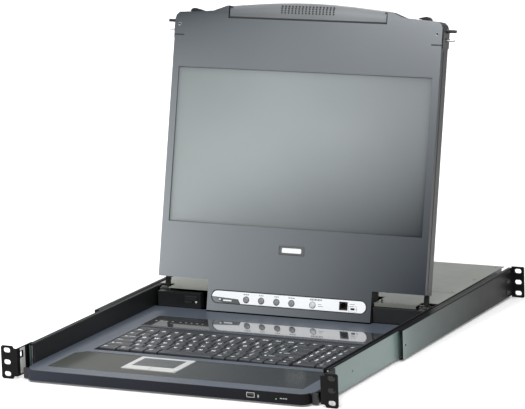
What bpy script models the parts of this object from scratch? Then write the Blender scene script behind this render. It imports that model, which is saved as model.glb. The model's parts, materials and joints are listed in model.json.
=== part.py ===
"""Rack console drawer with keyboard, touchpad and fold-up screen, one rack unit high."""

import math
from collections import namedtuple

import bmesh
import bpy
from mathutils import Matrix, Vector

# Driving dimensions in millimetres. X is to the right, Y to the back, Z up.
# Y = 0 is the front face of the front ears and Z = 0 the middle of the rack unit.
BASE_Y = 316.25
UNIT_HALF = 22.0
LEAN = 12.94

EAR_EDGE = 241.3
EAR_INNER = 222.5
EAR_THICK = 2.0
SLOT_X = 232.55
SLOT_PITCH = 15.875
SLOT_SIZE = (10.0, 6.5)
SIDE_PLATE = (217.3, 219.3)
SIDE_PLATE_DEPTH = 42.0
SIDE_PLATE_HALF = 18.5

RAIL = (211.6, 217.0)
RAIL_HALF = 19.2
RAIL_Y = (30.0, 600.0)
RAIL_HOLES = (99.0, 330.0, 560.0)
RAIL_HOLE_Z = 0.7
MID = (211.2, 214.8)
MID_HALF = 16.6
MID_Y = (34.0, 590.0)
INNER = (209.5, 212.2)
INNER_HALF = 12.5
SHEET = 1.4
BEND = 1.6

BRACKET = (217.4, 223.8)
BRACKET_HALF = 19.9
BRACKET_START = {"left": 226.0, "right": 246.0}
REAR_EAR_Y = 637.0
RIVET_Y = 617.0
RIVET_Z = (4.3, -10.4)

TRAY_HALF = 209.1
TRAY_SHEET = 1.2
TRAY_BOTTOM = -21.0
TRAY_Y = (8.0, 634.0)
WALL_START = 29.0
WALL_TOP = 20.2
REAR_WALL_TOP = 19.3
STEP_Y = 386.0
BULKHEAD_Y = 414.5

DECK_TOP = -6.0
DECK_THICK = 3.2
DECK_HALF = 207.5
FRONT_Y = -8.4
CORNER_HALF = 202.8
TRIM_BACK = 3.4
TAB = (203.2, 211.0, 4.4, 8.9)
TAB_TOP = -7.0
BEZEL_TOP = -5.8
BEZEL_BOTTOM = -19.5
PALM = [(-184, 19), (184, 19), (184, 95), (172, 107), (-172, 107), (-184, 95)]
KEY_OPENING = (169.5, 119.0, 259.0)
STRIP = (172.0, 262.4, 318.0)

PAD = (-88.0, -9.0, 42.0, 104.5)
PAD_FACE = (-80.0, -19.5, 59.0, 98.5)
PAD_SPLIT = -48.0
PAD_BUTTON_Y = (43.6, 55.6)

KEY_TOP = -4.8
KEY_FOOT = -9.2
WEB_FOOT = -10.0
KEY_PITCH = 18.8
KEY_LEFT = -167.0
KEY_FRONT = 126.6
KEY_GAP = 1.5
NUM_LEFT = 117.4
NUM_PITCH = 16.67

AXIS_Y = 387.8
AXIS_Z = 14.7
FACE = -17.7
SPLIT = -8.2
BACK = 5.8
MODULE_HALF = 201.5
MODULE_FOOT = 18.6
TONGUE_HALF = 123.7
TONGUE_FOOT = -24.0
SCREEN_FOOT = 96.3
SCREEN_SIZE = (381.9, 214.8)
PANEL_Z = -4.2
PANEL_HALF = 116.2
BUTTON_Z = -6.0
BUTTON_X = (-63.7, -40.9, -17.6, 5.1)
SCREEN_BUTTON_X = 36.8
PIN_Z = 375.8
GUIDE_Z = 363.3
PIN_Y = -5.3
PIN_REACH = 216.9

COVER = (19.6, 20.8)
COVER_HALF = 211.0
COVER_END = 639.0
SEAM_Y = 463.3
ARM = (192.6, 199.4)
CLEAR = 0.3
SHARP = math.radians(30)

ROCKER_AT = (-153.0, 631.0, 0.0)
ROCKER_TILT = 7.0

Rect = namedtuple("Rect", "a0 a1 b0 b1")
Circle = namedtuple("Circle", "a b radius sides")

# A prism is a flat shape, the axis it is swept along and its two ends. The shape lies in
# the plane of the other two axes, and each matrix turns a sweep along Z to its own axis.
SWEEP = {
    "x": Matrix(((0, 0, 1), (1, 0, 0), (0, 1, 0))).to_4x4(),
    "y": Matrix(((1, 0, 0), (0, 0, 1), (0, 1, 0))).to_4x4(),
    "z": Matrix.Identity(4),
}

for old in list(bpy.data.objects):
    bpy.data.objects.remove(old)

PARTS = bpy.data.collections.new("rack_console_drawer")
CUTTERS = bpy.data.collections.new("cutters")
bpy.context.scene.collection.children.link(PARTS)
bpy.context.scene.collection.children.link(CUTTERS)


def material(name, colour, roughness, metallic=0.0):
    made = bpy.data.materials.new(name)
    made.use_nodes = True
    shader = made.node_tree.nodes["Principled BSDF"]
    shader.inputs["Base Color"].default_value = (*colour, 1.0)
    shader.inputs["Roughness"].default_value = roughness
    shader.inputs["Metallic"].default_value = metallic
    return made


BLACK = material("black_paint", (0.012, 0.012, 0.014), 0.45, 0.3)
RAIL_STEEL = material("satin_black_steel", (0.02, 0.021, 0.022), 0.3, 0.0)
ZINC = material("zinc_steel", (0.55, 0.56, 0.57), 0.35, 0.9)
SLATE = material("slate_plastic", (0.065, 0.082, 0.11), 0.38, 0.2)
PALM_GREY = material("palm_grey", (0.09, 0.1, 0.095), 0.22, 0.1)
COVER_OLIVE = material("cover_olive", (0.26, 0.28, 0.23), 0.5, 0.3)
SCREEN_GREY = material("module_grey", (0.12, 0.13, 0.15), 0.36, 0.4)
GLASS = material("screen_glass", (0.12, 0.135, 0.13), 0.12)
SILVER = material("silver_plastic", (0.6, 0.6, 0.58), 0.35, 0.3)
WHITE = material("white_panel", (0.85, 0.86, 0.87), 0.4)
BUTTON_GREY = material("button_grey", (0.3, 0.3, 0.3), 0.45)
KEY_BLACK = material("key_black", (0.035, 0.037, 0.042), 0.5)
GLOSS = material("gloss_strip", (0.05, 0.055, 0.06), 0.06)
BOARD = material("circuit_board", (0.02, 0.14, 0.06), 0.5)
TIN = material("tinned_steel", (0.6, 0.6, 0.6), 0.3, 0.9)
GREEN = material("green_light", (0.1, 0.5, 0.15), 0.3)


def empty(name, place, lean=0.0):
    made = bpy.data.objects.new(name, None)
    PARTS.objects.link(made)
    made.location = Vector(place) / 1000
    made.rotation_euler = (-math.radians(lean), 0.0, 0.0)
    return made


UNIT = empty("unit_origin", (0, -BASE_Y, UNIT_HALF))
SCREEN = empty("screen_pivot", (0, AXIS_Y, AXIS_Z), LEAN)
SCREEN.parent = UNIT


def rect(a0, a1, b0, b1):
    return Rect(min(a0, a1), max(a0, a1), min(b0, b1), max(b0, b1))


def circle(a, b, radius, sides=24):
    return Circle(a, b, radius, sides)


def rounded(a0, a1, b0, b1, radius, steps=4):
    """A rectangle with round corners."""
    corners = (
        (a1 - radius, b0 + radius, -90),
        (a1 - radius, b1 - radius, 0),
        (a0 + radius, b1 - radius, 90),
        (a0 + radius, b0 + radius, 180),
    )
    outline = []
    for a, b, start in corners:
        for i in range(steps + 1):
            turn = math.radians(start + 90 * i / steps)
            outline.append((a + radius * math.cos(turn), b + radius * math.sin(turn)))
    return outline


def mirrored(outline, side):
    if side > 0:
        return outline
    return [(-a, b) for a, b in reversed(outline)]


def add_prism(mesh, prism):
    """A box or a cylinder from its primitive, or any other outline as an extruded face."""
    shape, axis, start, end = prism
    low, high = sorted((start, end))
    place = SWEEP[axis]
    if isinstance(shape, Rect):
        middle = ((shape.a0 + shape.a1) / 2, (shape.b0 + shape.b1) / 2, (low + high) / 2)
        size = Matrix.Diagonal((shape.a1 - shape.a0, shape.b1 - shape.b0, high - low, 1.0))
        bmesh.ops.create_cube(mesh, size=1.0, matrix=place @ Matrix.Translation(middle) @ size)
        return
    if isinstance(shape, Circle):
        bmesh.ops.create_cone(
            mesh,
            cap_ends=True,
            segments=shape.sides,
            radius1=shape.radius,
            radius2=shape.radius,
            depth=high - low,
            matrix=place @ Matrix.Translation((shape.a, shape.b, (low + high) / 2)),
        )
        return
    corners = [mesh.verts.new(place @ Vector((a, b, low))) for a, b in shape]
    swept = bmesh.ops.extrude_face_region(mesh, geom=[mesh.faces.new(corners)])["geom"]
    far = [item for item in swept if isinstance(item, bmesh.types.BMVert)]
    bmesh.ops.translate(mesh, verts=far, vec=place @ Vector((0, 0, high - low)))


def mesh_object(name, prisms, origin, parent, collection):
    mesh = bmesh.new()
    for prism in prisms:
        add_prism(mesh, prism)
    bmesh.ops.recalc_face_normals(mesh, faces=mesh.faces)
    bmesh.ops.translate(mesh, verts=mesh.verts, vec=-Vector(origin))
    bmesh.ops.scale(mesh, verts=mesh.verts, vec=(0.001, 0.001, 0.001))
    data = bpy.data.meshes.new(name)
    mesh.to_mesh(data)
    mesh.free()
    data.shade_smooth()
    data.set_sharp_from_angle(angle=SHARP)
    made = bpy.data.objects.new(name, data)
    collection.objects.link(made)
    made.parent = parent
    made.location = Vector(origin) / 1000
    return made


def combine(target, name, operation, prisms, origin, parent):
    operand = mesh_object(name, prisms, origin, parent, CUTTERS)
    operand.hide_render = True
    operand.display_type = "WIRE"
    step = target.modifiers.new(name, "BOOLEAN")
    step.operation = operation
    step.solver = "EXACT"
    step.object = operand


def part(
    name, base, skin, adds=(), cuts=(), holes=(), last=(), origin=(0, 0, 0), parent=UNIT, bevel=0.0
):
    """One closed body: a first prism, prisms joined to it, prisms cut from it, and last ones joined."""
    made = mesh_object(name, [base], origin, parent, PARTS)
    for number, prism in enumerate(adds):
        combine(made, f"{name}_add{number}", "UNION", [prism], origin, parent)
    for number, prism in enumerate(cuts):
        combine(made, f"{name}_cut{number}", "DIFFERENCE", [prism], origin, parent)
    if holes:
        combine(made, f"{name}_holes", "DIFFERENCE", list(holes), origin, parent)
    for number, prism in enumerate(last):
        combine(made, f"{name}_last{number}", "UNION", [prism], origin, parent)
    if bevel:
        edge = made.modifiers.new("edge", "BEVEL")
        edge.width = bevel / 1000
        edge.segments = 1
        edge.limit_method = "ANGLE"
        edge.angle_limit = math.radians(60)
    made.data.materials.append(skin)
    return made


def bend(a, b, start):
    """An outer bend of a folded sheet: a quarter circle about (a, b)."""
    turns = [math.radians(start + 30 * i) for i in range(4)]
    return [(a + BEND * math.cos(t), b + BEND * math.sin(t)) for t in turns]


def channel(span, half, sheet, open_in=True):
    """A C outline in X and Z whose web is on the outer side, or on the inner one."""
    inner, outer = span
    if open_in:
        return bend(outer - BEND, -half + BEND, -90) + bend(outer - BEND, half - BEND, 0) + [
            (inner, half), (inner, half - sheet), (outer - sheet, half - sheet),
            (outer - sheet, -half + sheet), (inner, -half + sheet), (inner, -half),
        ]
    return [
        (inner, -half), (outer, -half), (outer, -half + sheet), (inner + sheet, -half + sheet),
        (inner + sheet, half - sheet), (outer, half - sheet), (outer, half), (inner, half),
    ]


def ear_outline(neck, inner, half_neck):
    low = UNIT_HALF
    return [
        (neck, -half_neck), (inner, -half_neck), (inner + 2.5, -low), (EAR_EDGE - 2, -low),
        (EAR_EDGE, -low + 2), (EAR_EDGE, low - 2), (EAR_EDGE - 2, low), (inner + 2.5, low),
        (inner, half_neck), (neck, half_neck),
    ]


def rear_ear_outline(neck):
    low = UNIT_HALF
    return [
        (neck, -low), (EAR_EDGE - 1.2, -low), (EAR_EDGE, -low + 1.2), (EAR_EDGE, low - 1.2),
        (EAR_EDGE - 1.2, low), (neck, low),
    ]


def slots(side, low, high):
    length, height = SLOT_SIZE
    x = side * SLOT_X
    made = []
    for step in (-1, 0, 1):
        z = step * SLOT_PITCH
        shape = rounded(x - length / 2, x + length / 2, z - height / 2, z + height / 2, 3.0)
        made.append((shape, "y", low, high))
    return made


def make_rails(word, side):
    holes = [(circle(y, RAIL_HOLE_Z, 1.6, 12), "x", side * 210, side * 219) for y in RAIL_HOLES]
    part(
        f"rail_{word}",
        (mirrored(channel(RAIL, RAIL_HALF, SHEET), side), "y", *RAIL_Y),
        RAIL_STEEL,
        holes=holes,
    )
    part(
        f"slide_mid_{word}",
        (mirrored(channel(MID, MID_HALF, SHEET), side), "y", *MID_Y),
        ZINC,
    )
    part(
        f"slide_inner_{word}",
        (mirrored(channel(INNER, INNER_HALF, SHEET, False), side), "y", *MID_Y),
        ZINC,
    )


def make_ear(word, side):
    low, high = SIDE_PLATE
    plate = ear_outline(low, EAR_INNER, SIDE_PLATE_HALF)
    latch = rounded(8.8, 15.2, 5.8, 13.0, 1.5, 3)
    screws = [(circle(36.0, z, 1.8, 12), "x", side * 216, side * 221) for z in (-9.0, 9.0)]
    part(
        f"ear_{word}",
        (mirrored(plate, side), "y", 0.0, EAR_THICK),
        BLACK,
        adds=[(
            rect(0.4, SIDE_PLATE_DEPTH, -SIDE_PLATE_HALF, SIDE_PLATE_HALF),
            "x", side * low, side * high,
        )],
        holes=slots(side, -1.0, 3.0) + [(latch, "x", side * 216, side * 221)] + screws,
    )


def make_bracket(word, side):
    start = BRACKET_START[word]
    outline = mirrored(channel(BRACKET, BRACKET_HALF, SHEET), side)
    plate = mirrored(rear_ear_outline(BRACKET[1] - 1.2), side)
    heads = []
    for z in RIVET_Z:
        heads.append((circle(RIVET_Y, z, 3.0, 14), "x", side * 223.0, side * 224.7))
    small = [(circle(start + 9, -1.5, 1.6, 12), "x", side * 221, side * 225)]
    part(
        f"bracket_{word}",
        (outline, "y", start, REAR_EAR_Y + EAR_THICK),
        RAIL_STEEL,
        adds=[(plate, "y", REAR_EAR_Y, REAR_EAR_Y + EAR_THICK)] + heads,
        holes=slots(side, REAR_EAR_Y - 1, REAR_EAR_Y + 3) + small,
    )


def make_tray():
    start, end = TRAY_Y
    floor = TRAY_BOTTOM + TRAY_SHEET
    walls = []
    side_view = [
        (WALL_START, TRAY_BOTTOM), (end, TRAY_BOTTOM), (end, REAR_WALL_TOP),
        (STEP_Y, REAR_WALL_TOP), (STEP_Y, WALL_TOP), (WALL_START, WALL_TOP),
    ]
    for side in (-1, 1):
        walls.append((side_view, "x", side * (TRAY_HALF - TRAY_SHEET), side * TRAY_HALF))
    bulkhead = rect(-TRAY_HALF + 0.6, TRAY_HALF - 0.6, TRAY_BOTTOM + 0.6, REAR_WALL_TOP - 0.2)
    vents = []
    for column in range(6):
        x = -75.0 + 30.0 * column
        vents.append((rounded(x, x + 18, 520, 523, 1.4, 3), "z", TRAY_BOTTOM - 1, floor + 1))
    near, far, front, back = TAB
    edge = [
        (near + 0.4, start), (near + 0.4, front + 0.4), (far - 0.3, front + 0.4),
        (far - 0.3, back - 0.3), (TRAY_HALF, start + 4), (TRAY_HALF, end),
    ]
    outline = edge + [(-x, y) for x, y in reversed(edge)]
    tabs = []
    for side in (-1, 1):
        tabs.append((rect(side * near, side * far, front, back), "z", TRAY_BOTTOM + 0.5, TAB_TOP))
    part(
        "tray",
        (outline, "z", TRAY_BOTTOM, floor),
        BLACK,
        adds=walls + tabs + [(bulkhead, "y", BULKHEAD_Y, BULKHEAD_Y + TRAY_SHEET)],
        holes=vents,
    )


def front_path(inset, back):
    half = CORNER_HALF - inset
    right = [
        (half - 9.3, FRONT_Y + inset), (half - 4.2, -6.0 + inset), (half - 1.2, -1.5 + inset / 2),
        (half, back),
    ]
    return [(-x, y) for x, y in reversed(right)] + right


def make_deck():
    foot = DECK_TOP - DECK_THICK
    outline = front_path(2.7, TRIM_BACK + 0.5)
    right = [
        (CORNER_HALF, TRIM_BACK + 0.5), (CORNER_HALF, 9.3), (205.2, 9.3), (205.6, 24),
        (DECK_HALF, 27), (DECK_HALF, 371.4), (124.6, 371.4), (124.6, 363.0),
    ]
    back = right + [(-x, y) for x, y in reversed(right)]
    grow = CLEAR
    palm = [(x + math.copysign(grow, x), y + (grow if y > 60 else -grow)) for x, y in PALM]
    half, low, high = KEY_OPENING
    strip_half, strip_low, strip_high = STRIP
    openings = [
        (palm, "z", foot - 1, DECK_TOP + 1),
        (rounded(-half, half, low, high, 1.5, 3), "z", foot - 1, DECK_TOP + 1),
        (
            rounded(-strip_half - grow, strip_half + grow, strip_low - grow, strip_high + grow, 1.0, 2),
            "z", foot - 1, DECK_TOP + 1,
        ),
    ]
    relief = [(rect(117.0, 130.0, -6.0, 8.0), "z", foot - 1, -8.35)]
    part("deck_frame", (outline + back, "z", foot, DECK_TOP), SLATE, holes=openings, cuts=relief)
    bar = front_path(0.0, TRIM_BACK) + list(reversed(front_path(2.4, TRIM_BACK)))
    port = (rect(117.4, 129.6, -15.7, -8.3), "y", -12, 0)
    light = (circle(159.3, -14.2, 1.3, 12), "y", -12, 0)
    part("front_bezel", (bar, "z", BEZEL_BOTTOM, BEZEL_TOP), SLATE, holes=[port, light])
    part(
        "usb_port",
        (rect(117.8, 129.2, -15.3, -8.7), "y", -8.0, 6.0),
        TIN,
        cuts=[(rect(118.4, 128.6, -14.7, -9.3), "y", -9.0, 5.0)],
    )
    part("power_light", (circle(159.3, -14.2, 1.0, 12), "y", -8.5, -3.0), GREEN)


def make_palm():
    top = DECK_TOP - 0.6
    x0, x1, y0, y1 = PAD
    bay = rect(x0 - CLEAR, x1 + CLEAR, y0 - CLEAR, y1 + CLEAR)
    part(
        "palm_rest",
        (PALM, "z", top - 2.2, top),
        PALM_GREY,
        cuts=[(bay, "z", top - 4, top + 1)],
    )


def make_touchpad():
    x0, x1, y0, y1 = PAD
    top = DECK_TOP + 0.4
    face = PAD_FACE
    b0, b1 = PAD_BUTTON_Y
    cuts = [
        (rounded(face[0] - CLEAR, face[1] + CLEAR, face[2] - CLEAR, face[3] + CLEAR, 1.5, 3),
         "z", top - 1.6, top + 1),
        (rect(x0 + 2.2, x1 - 2.2, b0 - CLEAR, b1 + CLEAR), "z", top - 6, top + 1),
    ]
    part(
        "pad_frame",
        (rounded(x0, x1, y0, y1, 1.5, 3), "z", top - 3.4, top),
        SILVER,
        cuts=cuts,
    )
    part(
        "pad_surface",
        (rounded(face[0], face[1], face[2], face[3], 1.2, 3), "z", top - 1.3, top - 0.4),
        KEY_BLACK,
    )
    split = PAD_SPLIT
    spans = {"left": (x0 + 2.5, split - 0.35), "right": (split + 0.35, x1 - 2.5)}
    for word, (low, high) in spans.items():
        middle = ((low + high) / 2, (b0 + b1) / 2, top - 1.5)
        part(
            f"pad_button_{word}",
            (rounded(low, high, b0, b1, 1.0, 2), "z", top - 3.4, top + 0.1),
            SILVER,
            origin=middle,
            bevel=0.25,
        )


def key(low_x, high_x, low_y, high_y):
    """A keycap as one prism, a little clear of its neighbours."""
    gap = KEY_GAP / 2
    return (rect(low_x + gap, high_x - gap, low_y + gap, high_y - gap), "z", WEB_FOOT + 0.3, KEY_TOP)


def row_keys(row, widths, left=KEY_LEFT, pitch=KEY_PITCH, shift=0.0):
    made = []
    x = left
    y = KEY_FRONT + KEY_PITCH * row + shift
    for width in widths:
        if width > 0:
            made.append(key(x, x + width * pitch, y, y + KEY_PITCH))
        x += abs(width) * pitch
    return made


def key_block(name, keys, web):
    """Keycaps standing on one thin web, which presses down as a block."""
    x0, x1, y0, y1 = web
    middle = ((x0 + x1) / 2, (y0 + y1) / 2, KEY_FOOT)
    base = (rect(x0, x1, y0, y1), "z", WEB_FOOT, KEY_FOOT)
    made = mesh_object(name, [base], middle, UNIT, PARTS)
    combine(made, f"{name}_caps", "UNION", keys, middle, UNIT)
    made.data.materials.append(KEY_BLACK)


def web_of(keys, inset=1.4):
    shapes = [prism[0] for prism in keys]
    return (
        min(shape.a0 for shape in shapes) + inset,
        max(shape.a1 for shape in shapes) - inset,
        min(shape.b0 for shape in shapes) + inset,
        max(shape.b1 for shape in shapes) - inset,
    )


def make_keyboard():
    half, low, high = KEY_OPENING
    part(
        "keyboard_plate",
        (rect(-half - 1.5, half + 1.5, low - 1.5, high + 1.5), "z", -13.8, -12.6),
        BLACK,
        adds=[
            (rect(-half + 0.8, half - 0.8, 241.0, high - 0.8), "z", -13.2, -7.2),
            (rect(-half + 0.8, half - 0.8, low + 0.8, low + 2.0), "z", -13.2, -8.0),
        ],
    )
    main = row_keys(1, (2.0, 1, 1, 1, 1, 1, 1, 1, 1, 1, 1, 2.0, 1))
    main += row_keys(2, (1.7, 1, 1, 1, 1, 1, 1, 1, 1, 1, 1, 1, 2.3))
    main += row_keys(3, (1.5, 1, 1, 1, 1, 1, 1, 1, 1, 1, 1, 1, 1, 1.5))
    main += row_keys(4, (1, 1, 1, 1, 1, 1, 1, 1, 1, 1, 1, 1, 1, 2.0))
    key_block("keys_main", main, web_of(main))
    functions = row_keys(5, (1,) * 15)
    key_block("keys_function", functions, web_of(functions))
    left = row_keys(0, (1.4, 1.1, 1.1, 1.1))
    key_block("keys_bottom_left", left, web_of(left))
    space = row_keys(0, (-4.7, 4.3))
    key_block("key_space", space, web_of(space))
    arrows = row_keys(0, (-9.0, 1, 1, -1, 1, 1, 1), shift=-2.6)[2:]
    right = row_keys(0, (-9.0, 1, 1, 1))
    key_block("keys_bottom_right", right, web_of(right))
    key_block("keys_arrow", arrows, web_of(arrows))
    pad = []
    for row in range(6):
        widths = (2, 1) if row == 0 else (1, 1, 1)
        pad += row_keys(row, widths, NUM_LEFT, NUM_PITCH)
    key_block("keys_number", pad, web_of(pad))


def make_strip():
    half, low, high = STRIP
    part("light_strip", (rounded(-half, half, low, high, 0.8, 2), "z", -8.6, DECK_TOP + 0.3), GLOSS)


def make_hinge_side(word, side):
    near = 125.2 if side > 0 else 136.0
    far = 202.0
    low = DECK_TOP + 0.3
    recess = []
    bumps = []
    if side < 0:
        recess = [
            (rect(-161.6, -139.6, 0.0, 10.6), "y", 371, 372.9),
            (rect(-161.2, -152.4, 1.9, 3.6), "y", 371, 375),
        ]
        bumps = [(circle(-143.2, 3.0, 1.7, 12), "y", 372.2, 373.2)]
    x0, x1 = sorted((side * near, side * far))
    shell = [(rect(x0 + 1.8, x1 - 1.8, low - 1, 13.7), "y", 374.0, 383.0)]
    part(
        f"hinge_box_{word}",
        (rect(x0, x1, low, 15.5), "y", 372.0, 382.0),
        BLACK,
        cuts=shell + recess,
        last=bumps,
    )
    cheek = [(383.0, -19.5), (394.0, -19.5), (394.0, AXIS_Z)]
    for i in range(1, 8):
        turn = math.radians(180 * i / 8)
        cheek.append((388.5 + 5.5 * math.cos(turn), AXIS_Z - 0.7 + 5.5 * math.sin(turn)))
    cheek.append((383.0, AXIS_Z - 0.7))
    part(
        f"hinge_base_{word}",
        (cheek, "x", side * 188.0, side * 191.6),
        BLACK,
        adds=[
            (cheek, "x", side * 200.0, side * 203.4),
            (rect(383.4, 402.0, -19.5, -17.5), "x", side * 188.4, side * 203.0),
            (circle(AXIS_Y, AXIS_Z, 2.3, 20), "x", side * 190.0, side * 201.5),
        ],
    )


def module_outline(inset=0.0):
    """The screen module's front view, clockwise, with its tongue and its handle bay."""
    h = MODULE_HALF - inset
    foot = MODULE_FOOT + inset
    t = TONGUE_HALF - inset
    low = TONGUE_FOOT + inset
    bay = 119.8 + inset
    right = [
        (t, low), (t, foot), (h, foot), (h, 378.8 - inset), (h - 1.6, 383.6 - inset),
        (h - 6.0, 387.6 - inset), (143.5, 391.0 - inset), (122.5, 398.6 - inset),
        (bay, 399.0 - inset), (bay, 381.3 - inset),
    ]
    return right + [(-x, z) for x, z in reversed(right)]


def panel_outline(grow=0.0):
    low, high = PANEL_Z - 8.1 - grow, PANEL_Z + 8.1 + grow
    left, right = -PANEL_HALF - grow, PANEL_HALF + grow
    points = rounded(left, right, low, high, 8.0, 8)
    tab = [(x, z) for x, z in points if not (x < -72 and z < -5.2)]
    cut = [(-110.0 - grow, -4.6 - grow), (-76.0 - grow, -6.2 - grow), (-72.4 - grow, low)]
    place = [i for i, (x, z) in enumerate(tab) if x < -100][-1]
    return tab[: place + 1] + cut + tab[place + 1 :]


def make_screen():
    inner = module_outline(1.8)
    half, height = SCREEN_SIZE[0] / 2 + 0.5, SCREEN_SIZE[1]
    window = rect(-half, half, SCREEN_FOOT - 0.5, SCREEN_FOOT + height + 0.5)
    holes = [
        (window, "y", FACE - 1, FACE + 3),
        (panel_outline(CLEAR), "y", FACE - 1, FACE + 3),
    ]
    plate = (rounded(-19.2, 19.2, 59.4, 72.0, 1.5, 3), "y", FACE - 1, FACE + 0.8)
    small = [(circle(side * 194.2, 370.8, 1.7, 12), "y", FACE - 1, FACE + 0.7) for side in (-1, 1)]
    slits = [
        (rect(side * 186.5, side * 203.0, 355.0, 356.8), "y", FACE - 1, FACE + 1.0)
        for side in (-1, 1)
    ]
    part(
        "screen_bezel",
        (module_outline(), "y", FACE, SPLIT),
        SCREEN_GREY,
        cuts=[(inner, "y", FACE + 1.4, SPLIT + 1)],
        holes=holes + [plate] + small + slits,
        parent=SCREEN,
    )
    edge = rect(-half - 2.5, half + 2.5, SCREEN_FOOT - 3, SCREEN_FOOT + height + 3)
    part("screen_glass", (edge, "y", FACE + 1.7, FACE + 6.0), GLASS, parent=SCREEN)
    part(
        "name_plate",
        (rounded(-18.8, 18.8, 59.8, 71.6, 1.2, 3), "y", FACE - 0.3, FACE + 0.5),
        SILVER,
        parent=SCREEN,
    )


def make_screen_back():
    inner = module_outline(1.8)
    openings = []
    for side in (-1, 1):
        x0, x1 = sorted((side * 192.2, side * 199.9))
        openings.append((rect(x0, x1, MODULE_FOOT - 1, MODULE_FOOT + 3), "y", 0.6, 4.4))
        k0, k1 = sorted((side * 156.5, side * 182.5))
        openings.append((rect(k0, k1, 384.0, 394.0), "y", -7.6, -2.6))
        openings.append((circle(PIN_Y, PIN_Z, 2.7, 16), "x", side * 198.0, side * 203.0))
        openings.append((circle(PIN_Y, GUIDE_Z, 2.3, 16), "x", side * 198.0, side * 203.0))
    part(
        "screen_back",
        (module_outline(), "y", SPLIT + CLEAR, BACK),
        SCREEN_GREY,
        cuts=[(inner, "y", SPLIT - 1, BACK - 1.4)],
        holes=openings,
        parent=SCREEN,
    )


def make_handle():
    top = []
    for i in range(17):
        x = 119.0 - 238.0 * i / 16
        top.append((x, 399.4 + 7.2 * math.cos(math.pi * x / 238.0)))
    outline = [(-119.0, 382.1), (119.0, 382.1)] + top
    part(
        "handle",
        (outline, "y", FACE + 0.6, BACK - 0.8),
        SCREEN_GREY,
        parent=SCREEN,
        bevel=0.8,
    )


def make_controls():
    holes = []
    for x in BUTTON_X + (SCREEN_BUTTON_X,):
        holes.append((circle(x, BUTTON_Z, 4.3), "y", FACE - 2, FACE + 3))
    holes.append((rect(76.5, 89.3, -10.0, 1.6), "y", FACE - 2, FACE + 3))
    holes.append((rect(93.6, 99.8, -8.9, -6.1), "y", FACE - 2, FACE + 3))
    part(
        "control_panel",
        (panel_outline(), "y", FACE - 0.4, FACE + 1.4),
        WHITE,
        holes=holes,
        parent=SCREEN,
    )
    for number, x in enumerate(BUTTON_X + (SCREEN_BUTTON_X,)):
        name = "button_screen" if number == 4 else f"button_{number + 1}"
        part(
            name,
            (circle(x, BUTTON_Z, 4.0), "y", FACE - 1.6, FACE + 5.0),
            SILVER if number == 4 else BUTTON_GREY,
            origin=(x, FACE, BUTTON_Z),
            parent=SCREEN,
            bevel=0.6,
        )
    part(
        "phone_jack",
        (rect(76.8, 89.0, -9.7, 1.3), "y", FACE + 0.2, FACE + 14.0),
        BLACK,
        cuts=[
            (rect(78.0, 87.8, -8.5, -1.4), "y", FACE - 1, FACE + 12.5),
            (rect(80.4, 85.4, -1.6, 0.3), "y", FACE - 1, FACE + 12.5),
        ],
        parent=SCREEN,
    )
    part(
        "mode_switch",
        (rect(95.2, 98.2, -8.5, -6.5), "y", FACE - 0.9, FACE + 4.0),
        BLACK,
        origin=(96.7, FACE, -7.5),
        parent=SCREEN,
    )


def make_arm(word, side):
    near, far = side * ARM[0], side * ARM[1]
    part(
        f"hinge_arm_{word}",
        (circle(0.0, 0.0, 4.9, 28), "x", near, far),
        BLACK,
        adds=[(rect(1.2, 4.1, 0.0, 62.0), "x", near, far)],
        cuts=[(circle(0.0, 0.0, 2.6, 20), "x", near - side, far + side)],
        parent=SCREEN,
    )


def make_latch(word, side):
    """A pin, the bar that carries it, and a wedge above the module for the thumb."""
    bar = (rect(PIN_Y - 1.8, PIN_Y + 1.8, PIN_Z - 3.5, PIN_Z + 3.5), "x", side * 164.0, side * 192.0)
    stem = (rect(PIN_Y - 1.8, PIN_Y + 1.8, PIN_Z, 391.0), "x", side * 166.0, side * 180.0)
    wedge = [
        (163.5, 390.5), (181.0, 389.35), (181.0, 390.2), (177.6, 393.6), (174.6, 393.8),
        (163.5, 391.3),
    ]
    part(
        f"latch_{word}",
        (circle(PIN_Y, PIN_Z, 2.2, 18), "x", side * 190.0, side * PIN_REACH),
        BLACK,
        adds=[bar, stem, (mirrored(wedge, side), "y", -14.0, -3.5)],
        origin=(side * 190.0, PIN_Y, PIN_Z),
        parent=SCREEN,
    )


def make_guide_pin(word, side):
    """A steel pin through the rear shell's side, with its head inside."""
    part(
        f"guide_pin_{word}",
        (circle(PIN_Y, GUIDE_Z, 1.9, 16), "x", side * 196.0, side * 215.6),
        ZINC,
        adds=[(circle(PIN_Y, GUIDE_Z, 2.6, 16), "x", side * 194.0, side * 198.6)],
        parent=SCREEN,
    )


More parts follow.
